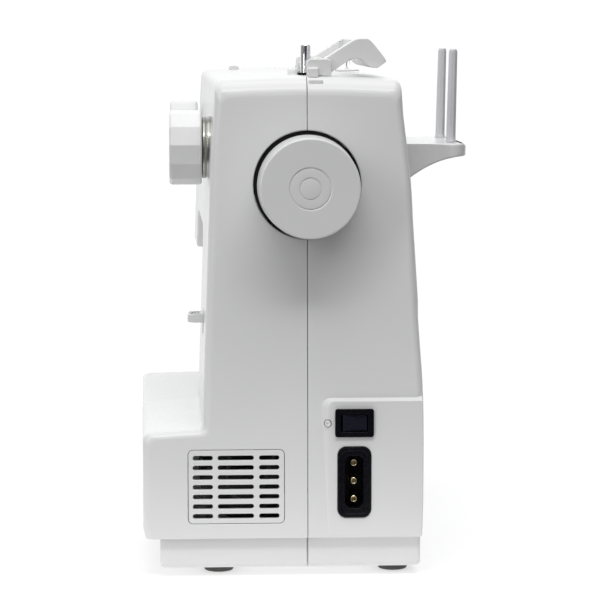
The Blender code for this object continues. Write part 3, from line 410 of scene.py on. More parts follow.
def make_palette():
    """Colour, shade, roughness span and grain of each finish."""
    return {
        "white": plastic("white_abs", (0.815, 0.815, 0.812), (0.798, 0.799, 0.797), (0.21, 0.25),
                         2600.0, 4e-6),
        "ivory": plastic("control_abs", (0.80, 0.80, 0.798), (0.782, 0.783, 0.782), (0.20, 0.24),
                         3000.0, 3e-6),
        "grey": plastic("pin_grey", (0.72, 0.72, 0.74), (0.68, 0.68, 0.70), (0.28, 0.36),
                        2400.0, 6e-6),
        "black": plastic("black_plastic", (0.006, 0.006, 0.009), (0.004, 0.004, 0.006), (0.22, 0.32),
                         1800.0, 1e-5, 1.24),
        "navy": plastic("rocker_navy", (0.016, 0.016, 0.028), (0.011, 0.011, 0.020), (0.20, 0.30),
                        1800.0, 1e-5, 1.3),
        "rubber": plastic("dark_rubber", (0.105, 0.105, 0.10), (0.075, 0.075, 0.072), (0.68, 0.86),
                          1100.0, 5e-5),
        "brass": metal("brass", (0.86, 0.77, 0.52), (0.74, 0.64, 0.40), (0.10, 0.2)),
        "chrome": metal("chrome", (0.86, 0.86, 0.87), (0.80, 0.80, 0.82), (0.05, 0.14),
                        depth=1e-6),
        "steel": metal("brushed_steel", (0.62, 0.62, 0.63), (0.50, 0.50, 0.52), (0.24, 0.42),
                       (1.0, 1.0, 0.04)),
        "casting": metal("cast_aluminium", (0.56, 0.56, 0.57), (0.44, 0.44, 0.45), (0.42, 0.62),
                         grain=700.0, depth=4e-5),
        "polished": metal("polished_steel", (0.80, 0.80, 0.83), (0.72, 0.72, 0.75), (0.04, 0.10),
                          depth=6e-7),
        # Steel for the ring behind the pattern knob. Its dark, olive-tinted tone is partly the ring's own
        # and partly painted shade of the gap between knob and cover.
        "collar": metal("collar_steel_gap_shade", (0.40, 0.40, 0.37), (0.32, 0.32, 0.29), (0.24, 0.34),
                        (0.05, 1.0, 0.05)),
        "lamp": lamp_material(),
        "nylon": plastic("nylon", (0.66, 0.64, 0.58), (0.58, 0.56, 0.50), (0.42, 0.55),
                         1600.0, 1e-5),
        "drive": plastic("drive_black", (0.020, 0.020, 0.021), (0.012, 0.012, 0.013), (0.50, 0.66),
                         1500.0, 2e-5),
        "dark_steel": metal("dark_steel", (0.11, 0.11, 0.12), (0.06, 0.06, 0.07), (0.35, 0.55),
                            grain=900.0),
    }


# ---- mesh helpers, in millimetres

def loft(rings):
    """Skins rings of equal length and caps the two ends."""
    bm = bmesh.new()
    rows = [[bm.verts.new(point) for point in ring] for ring in rings]
    for low, high in zip(rows, rows[1:]):
        for i in range(len(low)):
            j = (i + 1) % len(low)
            bm.faces.new((low[i], low[j], high[j], high[i]))
    bm.faces.new(list(reversed(rows[0])))
    bm.faces.new(rows[-1])
    return bm


def to_space(axis, along, a, b):
    if axis == "X":
        return (along, a, b)
    if axis == "Y":
        return (a, along, b)
    return (a, b, along)


def prism(outline, axis, low, high):
    return loft([[to_space(axis, along, a, b) for a, b in outline] for along in (low, high)])


def block(x, y, z):
    return prism([(x[0], y[0]), (x[1], y[0]), (x[1], y[1]), (x[0], y[1])], "Z", z[0], z[1])


def arc(centre, radius, start, end, steps):
    """Points on an arc, angles in degrees, both ends included."""
    angles = [radians(start + (end - start) * i / steps) for i in range(steps + 1)]
    return [(centre[0] + radius * cos(t), centre[1] + radius * sin(t)) for t in angles]


def rounded_rect(a, b, radius, steps=10):
    points = arc((a[1] - radius, b[1] - radius), radius, 0, 90, steps)
    points += arc((a[0] + radius, b[1] - radius), radius, 90, 180, steps)
    points += arc((a[0] + radius, b[0] + radius), radius, 180, 270, steps)
    points += arc((a[1] - radius, b[0] + radius), radius, 270, 360, steps)
    return points


def circle(centre, radius, steps, phase=0.0):
    return arc(centre, radius, phase, phase + 360.0, steps)[:-1]


def smooth_line(points, steps):
    """A Catmull-Rom line through the points, with steps pieces between each two."""
    ends = [points[0]] + list(points) + [points[-1]]
    line = []
    for before, start, end, after in zip(ends, ends[1:], ends[2:], ends[3:]):
        for i in range(steps):
            t = i / steps
            line.append(tuple(0.5 * (2 * b + (c - a) * t + (2 * a - 5 * b + 4 * c - d) * t * t
                                     + (3 * b - a - 3 * c + d) * t ** 3)
                              for a, b, c, d in zip(before, start, end, after)))
    return line + [tuple(points[-1])]


def turned(profile, axis, centre, steps, hollow=False, phase=0.0):
    """Turns (radius, distance) points about an axis; a solid profile starts and ends on the axis."""
    bm = bmesh.new()
    rows = []
    for radius, along in profile:
        if radius == 0:
            rows.append([bm.verts.new(to_space(axis, along, *centre))])
        else:
            ring = circle(centre, radius, steps, phase)
            rows.append([bm.verts.new(to_space(axis, along, a, b)) for a, b in ring])
    pairs = list(zip(rows, rows[1:]))
    if hollow:
        pairs.append((rows[-1], rows[0]))
    for low, high in pairs:
        for i in range(steps):
            j = (i + 1) % steps
            corners = [low[i % len(low)], low[j % len(low)], high[j % len(high)], high[i % len(high)]]
            bm.faces.new(list(dict.fromkeys(corners)))
    return bm


def tube(path, radius, sides=14):
    """Wire of a round section along a path."""
    points = [Vector(p) for p in path]
    turns = [tau * k / sides for k in range(sides)]
    rings = []
    side = Vector((0.0, 0.0, 1.0))
    for i, point in enumerate(points):
        run = (points[min(i + 1, len(points) - 1)] - points[max(i - 1, 0)]).normalized()
        side = side - run * side.dot(run)
        side = side.normalized() if side.length > 0.01 else run.orthogonal().normalized()
        across = run.cross(side)
        rings.append([point + side * (radius * cos(t)) + across * (radius * sin(t))
                      for t in turns])
    return loft(rings)


def make_object(name, bm):
    """An object in the row frame from a millimetre mesh."""
    bmesh.ops.recalc_face_normals(bm, faces=bm.faces)
    for vertex in bm.verts:
        vertex.co = (vertex.co + SHIFT) * MM
    mesh = bpy.data.meshes.new(name)
    bm.to_mesh(mesh)
    bm.free()
    return add_object(name, mesh)


def plus(bm):
    return ("UNION", bm)


def minus(bm):
    return ("DIFFERENCE", bm)


def shape(thing, *steps):
    """Carries out (operation, millimetre mesh) steps on a piece at once; no helper object is left."""
    helpers = []
    for operation, bm in steps:
        helper = make_object("helper", bm)
        modifier = thing.modifiers.new("step", "BOOLEAN")
        modifier.operation = operation
        modifier.solver = "EXACT"
        modifier.object = helper
        helpers.append(helper)
    bpy.context.view_layer.update()
    graph = bpy.context.evaluated_depsgraph_get()
    mesh = bpy.data.meshes.new_from_object(thing.evaluated_get(graph))
    thing.modifiers.clear()
    thing.data = mesh
    for helper in helpers:
        bpy.data.objects.remove(helper, do_unlink=True)
    clean(thing)
    return thing


def taken(thing):
    """The mesh of a piece as a millimetre mesh; the piece itself is removed."""
    bm = bmesh.new()
    bm.from_mesh(thing.data)
    for vertex in bm.verts:
        vertex.co = vertex.co / MM - SHIFT
    bpy.data.objects.remove(thing, do_unlink=True)
    return bm


def clean(thing):
    bm = bmesh.new()
    bm.from_mesh(thing.data)
    bmesh.ops.remove_doubles(bm, verts=bm.verts, dist=WELD_DISTANCE)
    bmesh.ops.dissolve_degenerate(bm, edges=bm.edges, dist=WELD_DISTANCE)
    bmesh.ops.dissolve_limit(bm, angle_limit=FLAT_ANGLE, verts=bm.verts, edges=bm.edges)
    bmesh.ops.recalc_face_normals(bm, faces=bm.faces)
    bm.to_mesh(thing.data)
    bm.free()


def round_edges(thing, radius, steps, chosen, sharpest=28.0):
    """Rounds the hard edges whose ends both pass the test; it sees them in millimetres on the datum."""
    bm = bmesh.new()
    bm.from_mesh(thing.data)
    edges = []
    for edge in bm.edges:
        if len(edge.link_faces) == 2 and edge.calc_face_angle(0.0) > radians(sharpest):
            if all(chosen(vertex.co / MM - SHIFT) for vertex in edge.verts):
                edges.append(edge)
    bmesh.ops.bevel(bm, geom=edges, offset=radius * MM, offset_type="OFFSET", segments=steps,
                    profile=0.5, affect="EDGES", clamp_overlap=False)
    bm.to_mesh(thing.data)
    bm.free()
    clean(thing)


def dress(thing, material, node, edge=0.3, segments=2, limit=30.0):
    """Gives a piece its finish and edge rounding, and puts it in the place of its CAD node, if any."""
    thing.data.materials.clear()
    thing.data.materials.append(PALETTE[material])
    thing.data.shade_smooth()
    if edge:
        bevel = thing.modifiers.new("edge", "BEVEL")
        bevel.width = edge * MM
        bevel.segments = segments
        bevel.limit_method = "ANGLE"
        bevel.angle_limit = radians(limit)
        bevel.use_clamp_overlap = False
        bevel.miter_outer = "MITER_ARC"
    normals = thing.modifiers.new("normals", "WEIGHTED_NORMAL")
    normals.weight = 60
    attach(thing, BODY_OF[node] if node else "root")
    if node:
        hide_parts(node)


# ---- body surface

def along_curve(curve, z):
    for (z0, y0), (z1, y1) in zip(curve, curve[1:]):
        if z <= z1:
            return y0 + (y1 - y0) * (z - z0) / (z1 - z0)
    return curve[-1][1]


def top_corner(y_edge, top, side):
    centre = (y_edge - side * TOP_EDGE_RADIUS, top - TOP_EDGE_RADIUS)
    start = 180 if side < 0 else 0
    return arc(centre, TOP_EDGE_RADIUS, start, 90, 12)


def crown(top, side):
    """Points of the slightly domed top between one edge and the seam."""
    return [(side * y, top + CROWN * share) for y, share in CROWN_STEPS]


def front_outline(inset, top_inset, foot):
    front = BASE_FRONT_Y + inset
    shelf = SHELF_Z - inset
    column = FRONT_CURVE[0][1] + inset
    top = BODY_TOP_Z - top_inset
    points = [(-SEAM_HALF, foot), (front + FLARE_FOOT_IN, foot)]
    points += [(front + FLARE_EDGE_IN, FLARE_EDGE_Z), (front, FLARE_TOP_Z)]
    points += arc((front + SHELF_EDGE_RADIUS, shelf - SHELF_EDGE_RADIUS), SHELF_EDGE_RADIUS, 180, 90, 12)
    fillet = (column - SHELF_FILLET, shelf + SHELF_RISE + SHELF_FILLET)
    points += arc(fillet, SHELF_FILLET, 270, 360, 10)
    points += [(y + inset, z) for z, y in smooth_line(FRONT_CURVE, 5)[1:]]
    points += top_corner(FRONT_CURVE[-1][1] + FRONT_TOP_IN + inset, top, -1)
    return points + crown(top, -1) + [(-SEAM_HALF, top + CROWN)]


def back_outline(inset, top_inset, foot):
    top = BODY_TOP_Z - top_inset
    points = [(SEAM_HALF, foot), (BACK_CURVE[0][1] - inset, foot)]
    points += [(y - inset, z) for z, y in smooth_line(BACK_CURVE, 5)[1:]]
    points += top_corner(BACK_CURVE[-1][1] - BACK_TOP_IN - inset, top, 1)
    return points + crown(top, 1) + [(SEAM_HALF, top + CROWN)]


def end_inset(depth, radius):
    """How far a rounded end draws in at a depth behind its face."""
    if depth >= radius:
        return 0.0
    return radius - sqrt(radius * radius - (radius - depth) ** 2)


def lean_at(depth, z):
    """How far the leaning end face stands back at a height; the lean fades out behind the face."""
    fade = 1.0 - min(1.0, max(0.0, (depth - LEAN_FULL_TO) / (LEAN_GONE_AT - LEAN_FULL_TO)))
    return max(0.0, z - COVER_FOOT_Z) * END_LEAN * fade


def end_stations(side_radius, top_radius):
    """Depths of the rings that follow both roundings of the end."""
    depths = {side_radius * (1 - cos(radians(t))) for t in range(0, 91, 10)}
    depths |= {top_radius * (1 - cos(radians(t))) for t in range(8, 91, 8)}
    depths |= {top_radius}
    ordered = sorted(depths)
    kept = [ordered[0]]
    for depth in ordered[1:]:
        if depth - kept[-1] > 0.03:
            kept.append(depth)
    return kept


def half_body(outline, flare, wall, foot, left_x):
    """One half of the body from the end face to the left; a wall makes it the room inside."""
    side_radius = END_SIDE_RADIUS - wall * 0.8
    top_radius = END_TOP_RADIUS - wall
    depths = end_stations(side_radius, top_radius) + [*LEAN_STATIONS, LEAN_GONE_AT, -left_x]
    rings = []
    for depth in depths:
        at = depth + wall if depth < LEAN_GONE_AT else depth
        inset = wall + end_inset(depth, side_radius) - flare * depth
        section = outline(inset, wall + end_inset(depth, top_radius), foot)
        rings.append([(-at - lean_at(depth, z), y, z) for y, z in section])
    return loft(rings)


def under_arm_outline(grow):
    """The harp space, and the room under the head; grown for the inner faces of the covers."""
    right = COLUMN_LEFT_X + grow
    arm = ARM_UNDER_Z + grow
    corner = arc((right - HARP_RADIUS, arm - HARP_RADIUS), HARP_RADIUS, 0, 90, 16)
    if grow:
        left = HARP_LEFT_X - grow
        return [(right, HARP_FOOT_Z)] + corner + [(left, arm), (left, HARP_FOOT_Z)]
    bend = HEAD_CORNER_RADIUS
    corner += arc((HARP_LEFT_X + bend, arm - bend), bend, 90, 180, 10)
    under_head = [(HARP_LEFT_X, HEAD_UNDER_Z), (PAST_LEFT_X, HEAD_UNDER_Z), (PAST_LEFT_X, HARP_FOOT_Z)]
    return [(right, HARP_FOOT_Z)] + corner + under_head


def at_harp(p):
    return p.x < COLUMN_LEFT_X + 0.5 and p.z < ARM_UNDER_Z + 0.5 and abs(p.y) > 1.0


def across_seam(outline, seam):
    """The same outline, with its seam edge moved past the seam so that a hollow opens there."""
    def shifted(inset, top_inset, foot):
        points = outline(inset, top_inset, foot)
        return [(seam, points[0][1])] + points[1:-1] + [(seam, points[-1][1])]
    return shifted


def well_cutter():
    """Round well for the handwheel, with a rounded rim that follows the leaning end face."""
    face = -(SHAFT_Z - COVER_FOOT_Z) * END_LEAN
    rim = arc((face - WELL_RIM_RADIUS, WELL_RADIUS + WELL_RIM_RADIUS), WELL_RIM_RADIUS, -90, 0, 6)
    profile = [(0, WELL_FLOOR_X), (WELL_RADIUS, WELL_FLOOR_X)] + [(r, x) for x, r in rim]
    profile += [(WELL_RADIUS + WELL_RIM_RADIUS, 6.0), (0, 6.0)]
    bm = turned(profile, "X", (0.0, SHAFT_Z), 120)
    for vertex in bm.verts:
        vertex.co.x -= (vertex.co.z - SHAFT_Z) * END_LEAN
    return bm


def make_cover(name, outline, flare, seam):
    """A hollow half of the body with the harp, the well, the arm's passage and the winder's slot cut."""
    outside = half_body(outline, flare, 0.0, COVER_FOOT_Z, COVER_LEFT_X)
    shell = make_object(name + "_skin", outside)
    shape(shell, minus(prism(under_arm_outline(0.0), "Y", -140.0, 140.0)))
    round_edges(shell, 1.6, 4, at_harp)
    inside = half_body(across_seam(outline, seam), flare, WALL, -15.0, COVER_LEFT_X - 20.0)
    hollow = make_object(name + "_hollow", inside)
    shape(hollow, minus(prism(under_arm_outline(WALL), "Y", -130.0, 130.0)))
    winder_slot = prism(rounded_rect(*WINDER_SLOT, 3.0, 8), "Z", 270.0, 290.0)
    shape(shell, minus(taken(hollow)), minus(well_cutter()), minus(block(*ARM_PASSAGE)),
          minus(winder_slot))
    return shell


def make_front_cover():
    cover = make_cover("front_cover", front_outline, FRONT_FLARE, 2.0)
    winder_stop = [(0, 280.0), (3.2, 280.0), (3.2, 284.6), (3.0, 285.3), (2.5, 285.8), (1.8, 286.0),
                   (0, 286.0)]
    lever_slot = rounded_rect((REVERSE_X - 9.0, REVERSE_X + 9.0), (132.0, 147.0), 1.5, 6)
    take_up_slot = rounded_rect((TAKE_UP_X - 3.0, TAKE_UP_X + 3.0), (202.0, 268.0), 2.9, 8)
    shape(cover,
          plus(turned(winder_stop, "Z", (-75.0, -5.0), 32)),
          minus(prism(rounded_rect(VENT_Y, VENT_Z, 3.0), "X", *VENT_CUT)),
          minus(prism(circle(PATTERN_DIAL, 5.0, 32), "Y", *DIAL_CUT)),
          minus(prism(circle(TENSION_DIAL, 4.0, 32), "Y", *DIAL_CUT)),
          minus(prism(lever_slot, "Y", *FRONT_CUT)),
          minus(prism(take_up_slot, "Y", *FRONT_CUT)))
    dress(cover, "white", "front_cover", 0.45, 3)


def panel_outline(side, top, radius):
    """The flat's outline, grown at its left side and its top."""
    return rounded_rect((PANEL_Y[0] - side, PANEL_Y[1]), (PANEL_Z[0], PANEL_Z[1] + top), radius, 12)


def panel_openings():
    """Cuts for the switch, the inlet and the screw plug."""
    return [minus(prism(rounded_rect(*SWITCH_HOLE, 1.0, 6), "X", *END_CUT)),
            minus(prism(rounded_rect(*INLET_HOLE, 4.9), "X", *END_CUT)),
            minus(prism(circle(PLUG_CENTRE, 2.15, 32), "X", *END_CUT))]


def make_panel_step():
    """The flat for switch and inlet: it stands out from the leaning end and runs to the back edge."""
    foot = [(PANEL_FOOT_X, y, z) for y, z in panel_outline(6.5, 2.6, 7.0)]
    face = [(PANEL_FACE_X, y, z) for y, z in panel_outline(-1.0, -0.2, 4.0)]
    step = make_object("panel_step", loft([foot, face]))
    limits = prism(back_outline(0.9, 0.0, COVER_FOOT_Z + 0.1), "X", -6.0, 2.0)
    shape(step, ("INTERSECT", limits), *panel_openings())
    dress(step, "white", None, 0.4, 3, 20.0)


def make_rear_cover():
    cover = make_cover("rear_cover", back_outline, 0.0, -2.0)
    shape(cover, *panel_openings())
    dress(cover, "white", "rear_cover", 0.45, 3)


# ---- head end, free arm, base and tray

def head_section(inset, top_inset):
    top = BODY_TOP_Z - top_inset
    flare = FRONT_FLARE * COVER_LEFT_X
    heights = [HEAD_UNDER_Z + 8.0 * i for i in range(12)]
    points = [(along_curve(FRONT_CURVE, z) + flare + inset, z) for z in heights]
    points += top_corner(FRONT_CURVE[-1][1] + FRONT_TOP_IN + flare + inset, top, -1)
    points += crown(top, -1) + [(0.0, top + CROWN)] + crown(top, 1)[::-1]
    points += reversed(top_corner(BACK_CURVE[-1][1] - BACK_TOP_IN - inset, top, 1))
    points += [(along_curve(BACK_CURVE, z) - inset, z) for z in reversed(heights)]
    return points


def rounded_end(left_x, radius, angles):
    """Places and insets of the rings that round a left-hand end off."""
    turns = [radians(t) for t in angles]
    return [(left_x + radius * (1 - cos(t)), radius * (1 - sin(t))) for t in turns]


def make_face_cover():
    rings = [[(COVER_LEFT_X - GAP, y, z) for y, z in head_section(0.0, 0.0)]]
    for x, inset in rounded_end(HEAD_LEFT_X, HEAD_RADIUS, range(90, 5, -7)):
        rings.append([(x, y, z) for y, z in head_section(inset, inset)])
    section = head_section(WALL, WALL)
    section[0] = (section[0][0], 150.0)
    section[-1] = (section[-1][0], 150.0)
    inner = [[(x, y, z) for y, z in section] for x in (-330.0, HEAD_LEFT_X + WALL + 1.5)]
    cover = shape(make_object("face_cover_skin", loft(rings)), minus(loft(inner)))
    dress(cover, "white", "face_cover", 0.5, 3)


def free_arm_section(inset, foot):
    radius = 6.0 - inset * 0.6
    top = ARM_TOP_Z - inset
    back = ARM_BACK_Y - inset
    front = ARM_FRONT_Y + inset
    points = [(front, foot)]
    points += arc((front + radius, top - radius), radius, 180, 90, 12)
    points += arc((back - radius, top - radius), radius, 90, 0, 12)
    return points + [(back, foot)]


def plate_outline(grow):
    left, right = PLATE_X
    front, back = PLATE_Y
    return rounded_rect((left - grow, right + grow), (front - grow, back + grow), PLATE_RADIUS + grow)


def make_free_arm():
    outside = prism(free_arm_section(0.0, COVER_FOOT_Z), "X", ARM_LEFT_X, COLUMN_LEFT_X - GAP)
    cover = make_object("free_arm_skin", outside)
    window = plate_outline(GAP)
    shape(cover,
          minus(prism(free_arm_section(WALL, 0.0), "X", ARM_LEFT_X - 10.0, -100.0)),
          minus(prism(window, "Z", *BED_CUT)))
    dress(cover, "white", "free_arm_cover")


def make_shuttle_flap():
    foot = COVER_FOOT_Z + 1.0
    rings = [[(ARM_LEFT_X - GAP, y, z) for y, z in free_arm_section(0.0, foot)]]
    for x, inset in rounded_end(FLAP_LEFT_X, FLAP_RADIUS, range(90, 8, -9)):
        rings.append([(x, y, z) for y, z in free_arm_section(inset, foot + inset * 0.5)])
    hollow = prism(free_arm_section(WALL, foot + WALL), "X", FLAP_LEFT_X + WALL, ARM_LEFT_X + 5.0)
    flap = shape(make_object("shuttle_flap_skin", loft(rings)), minus(hollow))
    dress(flap, "white", "shuttle_flap")


def base_outline(inset):
    right = -4.7 - inset
    front = -83.5 + inset
    step = -30.5 + inset
    left = -343.5 + inset
    back = 64.4 - inset
    column = -116.0 + inset
    small = BASE_END_RADIUS
    large = BASE_RADIUS
    points = arc((right - small, back - small), small, 0, 90, 10)
    points += arc((left + large, back - large), large, 90, 180, 8)
    points += arc((left + large, step + large), large, 180, 270, 8) + [(column, step), (column, front)]
    return points + arc((right - small, front + small), small, 270, 360, 10)


def make_base_pan():
    low, high = BASE_Z
    steps = ((3.0, low), (1.6, low + 0.35), (0.6, low + 1.2), (0.1, low + 2.2), (0.0, low + 3.0),
             (0.0, high))
    rings = [[(x, y, z) for x, y in base_outline(inset)] for inset, z in steps]
    pan = make_object("base_pan_skin", loft(rings))
    seam = block((-6.8, 0.0), (-0.4, 0.4), (0.0, 30.0))
    seats = [minus(prism(circle(centre, 9.0, 48), "Z", 0.0, 6.2)) for centre in FOOT_PLACES.values()]
    shape(pan, minus(prism(base_outline(WALL), "Z", low + 4.0, 40.0)), minus(seam), *seats)
    dress(pan, "white", "base_pan")


def make_feet():
    profile = [(0, 0.25), (4.0, 0.25), (4.3, 0.0), (7.3, 0.0), (7.9, 0.2), (8.3, 0.65), (8.5, 1.3),
               (8.5, 4.3), (8.1, 4.7), (8.1, 5.7), (0, 5.7)]
    for name, centre in FOOT_PLACES.items():
        dress(make_object(name + "_pad", turned(profile, "Z", centre, 64)), "rubber", name, 0.15)


def tray_front(x):
    return BASE_FRONT_Y + FRONT_FLARE * x


def tray_section(x, inset):
    front = tray_front(x) + inset
    back = ARM_FRONT_Y - 0.6
    return [(x, back, 6.6), (x, back, 66.0), (x, front, 66.0), (x, front, FLARE_TOP_Z),
            (x, front + FLARE_EDGE_IN, FLARE_EDGE_Z), (x, front + FLARE_FOOT_IN, COVER_FOOT_Z),
            (x, front + 9.5, BASE_Z[1]), (x, front + 9.5, 6.6)]


def lid_section(x, inset):
    front = tray_front(x) + inset
    back = ARM_FRONT_Y - 0.9
    return [(x, back, 66.3), (x, back, 69.4), (x, front + 5.0, 67.9), (x, front + 2.6, 67.7),
            (x, front + 1.2, 67.2), (x, front + 0.35, 66.8), (x, front, 66.3)]


def make_tray():
    stations = [(COLUMN_LEFT_X - 2 * GAP, 0.0)]
    stations += rounded_end(TRAY_LEFT_X, TRAY_RADIUS, range(90, -1, -15))
    tray = make_object("tray_box_skin", loft([tray_section(x, inset) for x, inset in stations]))
    hollow = [(-37.0, 9.5), (-37.0, 72.0), (-90.5, 72.0), (-90.5, 31.0), (-82.0, 24.0), (-82.0, 9.5)]
    shape(tray, minus(prism(hollow, "X", TRAY_LEFT_X + 3.5, -121.5)))
    dress(tray, "white", "tray_box", 0.4, 3, 25.0)
    lid = make_object("tray_lid_skin", loft([lid_section(x, inset) for x, inset in stations]))
    clean(lid)
    dress(lid, "white", "tray_lid", 0.4, 3, 35.0)


# ---- right-hand end

def ring_groove(radius, face, half=0.36, deep=0.42):
    """Points of a fine rounded groove turned into the wheel's face."""
    return [(radius - half, face), (radius - half * 0.6, face - deep * 0.8), (radius, face - deep),
            (radius + half * 0.6, face - deep * 0.8), (radius + half, face)]


def make_handwheel():
    middle = WHEEL_FACE_X - 0.1
    face = [(0, middle)] + ring_groove(5.9, middle) + ring_groove(11.3, middle)
    face += [(12.4, WHEEL_FACE_X), (26.6, WHEEL_FACE_X)]
    rim = [(27.0, 27.96), (27.35, 27.78), (27.55, 27.5), (27.62, 27.1)]
    back = [(28.1, 12.0), (28.5, 0.6), (28.3, -0.4), (26.0, -2.6), (20.0, -9.0), (7.0, -9.0),
            (7.0, -13.5), (0, -13.5)]
    wheel = make_object("handwheel_rim", turned(face + rim + back, "X", (0.0, SHAFT_Z), 144))
    dress(wheel, "white", "handwheel", 0)


def make_vent_grille():
    outline = rounded_rect((VENT_Y[0] + GAP, VENT_Y[1] - GAP), (VENT_Z[0] + GAP, VENT_Z[1] - GAP), 2.7)
    rings = []
    for depth in (0.25, 3.0):
        rings.append([(-depth - (z - COVER_FOOT_Z) * END_LEAN, y, z) for y, z in outline])
    slots = bmesh.new()
    for row in range(VENT_ROWS):
        low = VENT_FIRST_ROW_Z + VENT_PITCH * row - VENT_SLOT_HALF
        for columns in VENT_COLUMNS:
            mesh = bpy.data.meshes.new("slot")
            height = (low, low + 2 * VENT_SLOT_HALF)
            piece = prism(rounded_rect(columns, height, 1.2, 6), "X", *END_CUT)
            piece.to_mesh(mesh)
            piece.free()
            slots.from_mesh(mesh)
            bpy.data.meshes.remove(mesh)
    grille = shape(make_object("vent_grille_face", loft(rings)), minus(slots))
    dress(grille, "white", "vent_grille", 0.4, 3)


def make_switch():
    y, z = SWITCH_CENTRE
    flange = prism(rounded_rect((y - 10.95, y + 10.95), (z - 8.05, z + 8.05), 1.4, 8), "X", 0.5, 1.7)
    body = block((-12.0, 1.0), (y - 9.3, y + 9.3), (z - 6.4, z + 6.4))
    pocket = prism(rounded_rect((y - 7.7, y + 7.7), (z - 5.1, z + 5.1), 0.8, 6), "X", -10.5, 4.0)
    bezel = shape(make_object("switch_frame", flange), plus(body), minus(pocket))
    dress(bezel, "black", "switch_bezel", 0.35, 3)
    tilt = radians(8.0)
    dished = [7.0 - 14.0 * i / 20 for i in range(21)]
    top = [(along, 0.9 + 1.1 * (along / 7.0) ** 2) for along in dished]
    outline = []
    for along, out in [(-4.8, -5.0), (4.8, -5.0)] + top:
        outline.append((out * cos(tilt) - along * sin(tilt) - 1.0,
                        y + along * cos(tilt) + out * sin(tilt)))
    rocker = make_object("switch_button", prism(outline, "Z", z - 4.7, z + 4.7))
    dress(rocker, "navy", "switch_rocker", 0.35, 3)


def make_inlet():
    y, z = INLET_CENTRE
    body = prism(rounded_rect((y - 9.2, y + 9.2), (z - 20.0, z + 20.0), 4.6, 12), "X", -20.0, 1.0)
    lip = prism(rounded_rect((y - 7.3, y + 7.3), (z - 18.0, z + 18.0), 3.4, 12), "X", 0.35, 3.0)
    well = [(5.2, 13.0), (3.2, 15.0), (-3.2, 15.0), (-5.2, 13.0), (-5.2, -12.0), (-2.6, -15.0),
            (2.6, -15.0), (5.2, -12.0)]
    well = prism([(y + a, z + b) for a, b in well], "X", -16.0, 5.0)
    pin_places = [(y, z + i * PIN_PITCH) for i in (-1, 0, 1)]
    housing = make_object("inlet_socket", body)
    shape(housing, minus(lip), minus(well))
    shape(housing, *[minus(prism(circle(place, 2.55, 32), "X", -24.0, -14.0)) for place in pin_places])
    dress(housing, "black", "inlet_housing", 0.4, 3)
    bridge = block((-22.2, -20.3), (y - 2.6, y + 2.6), (z - 13.5, z + 13.5))
    pins = make_object("inlet_contacts", bridge)
    tip = [(0, -21.0), (2.2, -21.0), (2.2, -5.4), (2.0, -4.9), (1.6, -4.6), (1.25, -4.75), (1.1, -5.4),
           (1.1, -12.0), (0, -12.0)]
    shape(pins, *[plus(turned(tip, "X", place, 40)) for place in pin_places])
    dress(pins, "brass", "inlet_pins", 0.15)


def make_screw_plug():
    profile = [(0, -6.0), (1.85, -6.0), (1.85, 0.2), (1.75, 0.5), (1.4, 0.7), (0.9, 0.7), (0.75, 0.45),
               (0, 0.4)]
    plug = make_object("screw_plug_cap", turned(profile, "X", PLUG_CENTRE, 40))
    dress(plug, "white", "screw_plug", 0)


# ---- front controls

def make_dials():
    knob = [(0, -76.4), (12.5, -76.4), (13.0, -77.2), (20.3, -77.2), (21.3, -76.2), (21.45, -75.6),
            (21.45, -60.2), (21.2, -59.3), (20.2, -58.6), (4.4, -58.6), (4.4, -44.0), (13.0, -44.0),
            (13.0, -30.0), (0, -30.0)]
    dial = make_object("pattern_knob_grip", turned(knob, "Y", PATTERN_DIAL, 12, phase=5.8))
    dress(dial, "ivory", "pattern_dial", 0.3, 3, 18.0)
    collar = [(14.0, -50.0), (17.8, -50.0), (17.8, -55.2), (17.3, -55.5), (17.3, -56.1), (17.8, -56.4),
              (17.8, -57.9), (17.4, -58.3), (14.0, -58.3)]
    ring = make_object("pattern_collar_ring", turned(collar, "Y", PATTERN_DIAL, 96, hollow=True))
    # The ring's dark finish partly paints the shade of the gap between knob and cover.
    dress(ring, "collar", None, 0)
    knob = [(0, -76.3), (10.0, -76.3), (10.5, -77.0), (15.6, -77.0), (16.6, -76.6), (17.1, -75.6),
            (17.1, -60.0), (15.9, -58.6), (3.4, -58.4), (3.4, -40.0), (0, -40.0)]
    dial = make_object("tension_knob_grip", turned(knob, "Y", TENSION_DIAL, 18, phase=5.0))
    dress(dial, "ivory", "tension_dial", 0.3, 3, 15.0)


def make_reverse_lever():
    low = REVERSE_Z - 2.6
    high = REVERSE_Z + 2.6
    side = [(-26.0, low), (-26.0, high), (-63.0, high), (-67.1, high - 0.4), (-67.1, low + 0.4),
            (-63.0, low)]
    lever = make_object("reverse_key", prism(side, "X", REVERSE_X - 7.5, REVERSE_X + 7.5))
    for i in range(4):
        start = 1.6 * i
        across = (REVERSE_X - 6.0, REVERSE_X + 6.0)
        shape(lever, minus(block(across, (-65.6 + start, -64.9 + start), (high - 0.35, high + 2.0))))
    dress(lever, "ivory", "reverse_lever", 0.5, 3)


# ---- top fittings

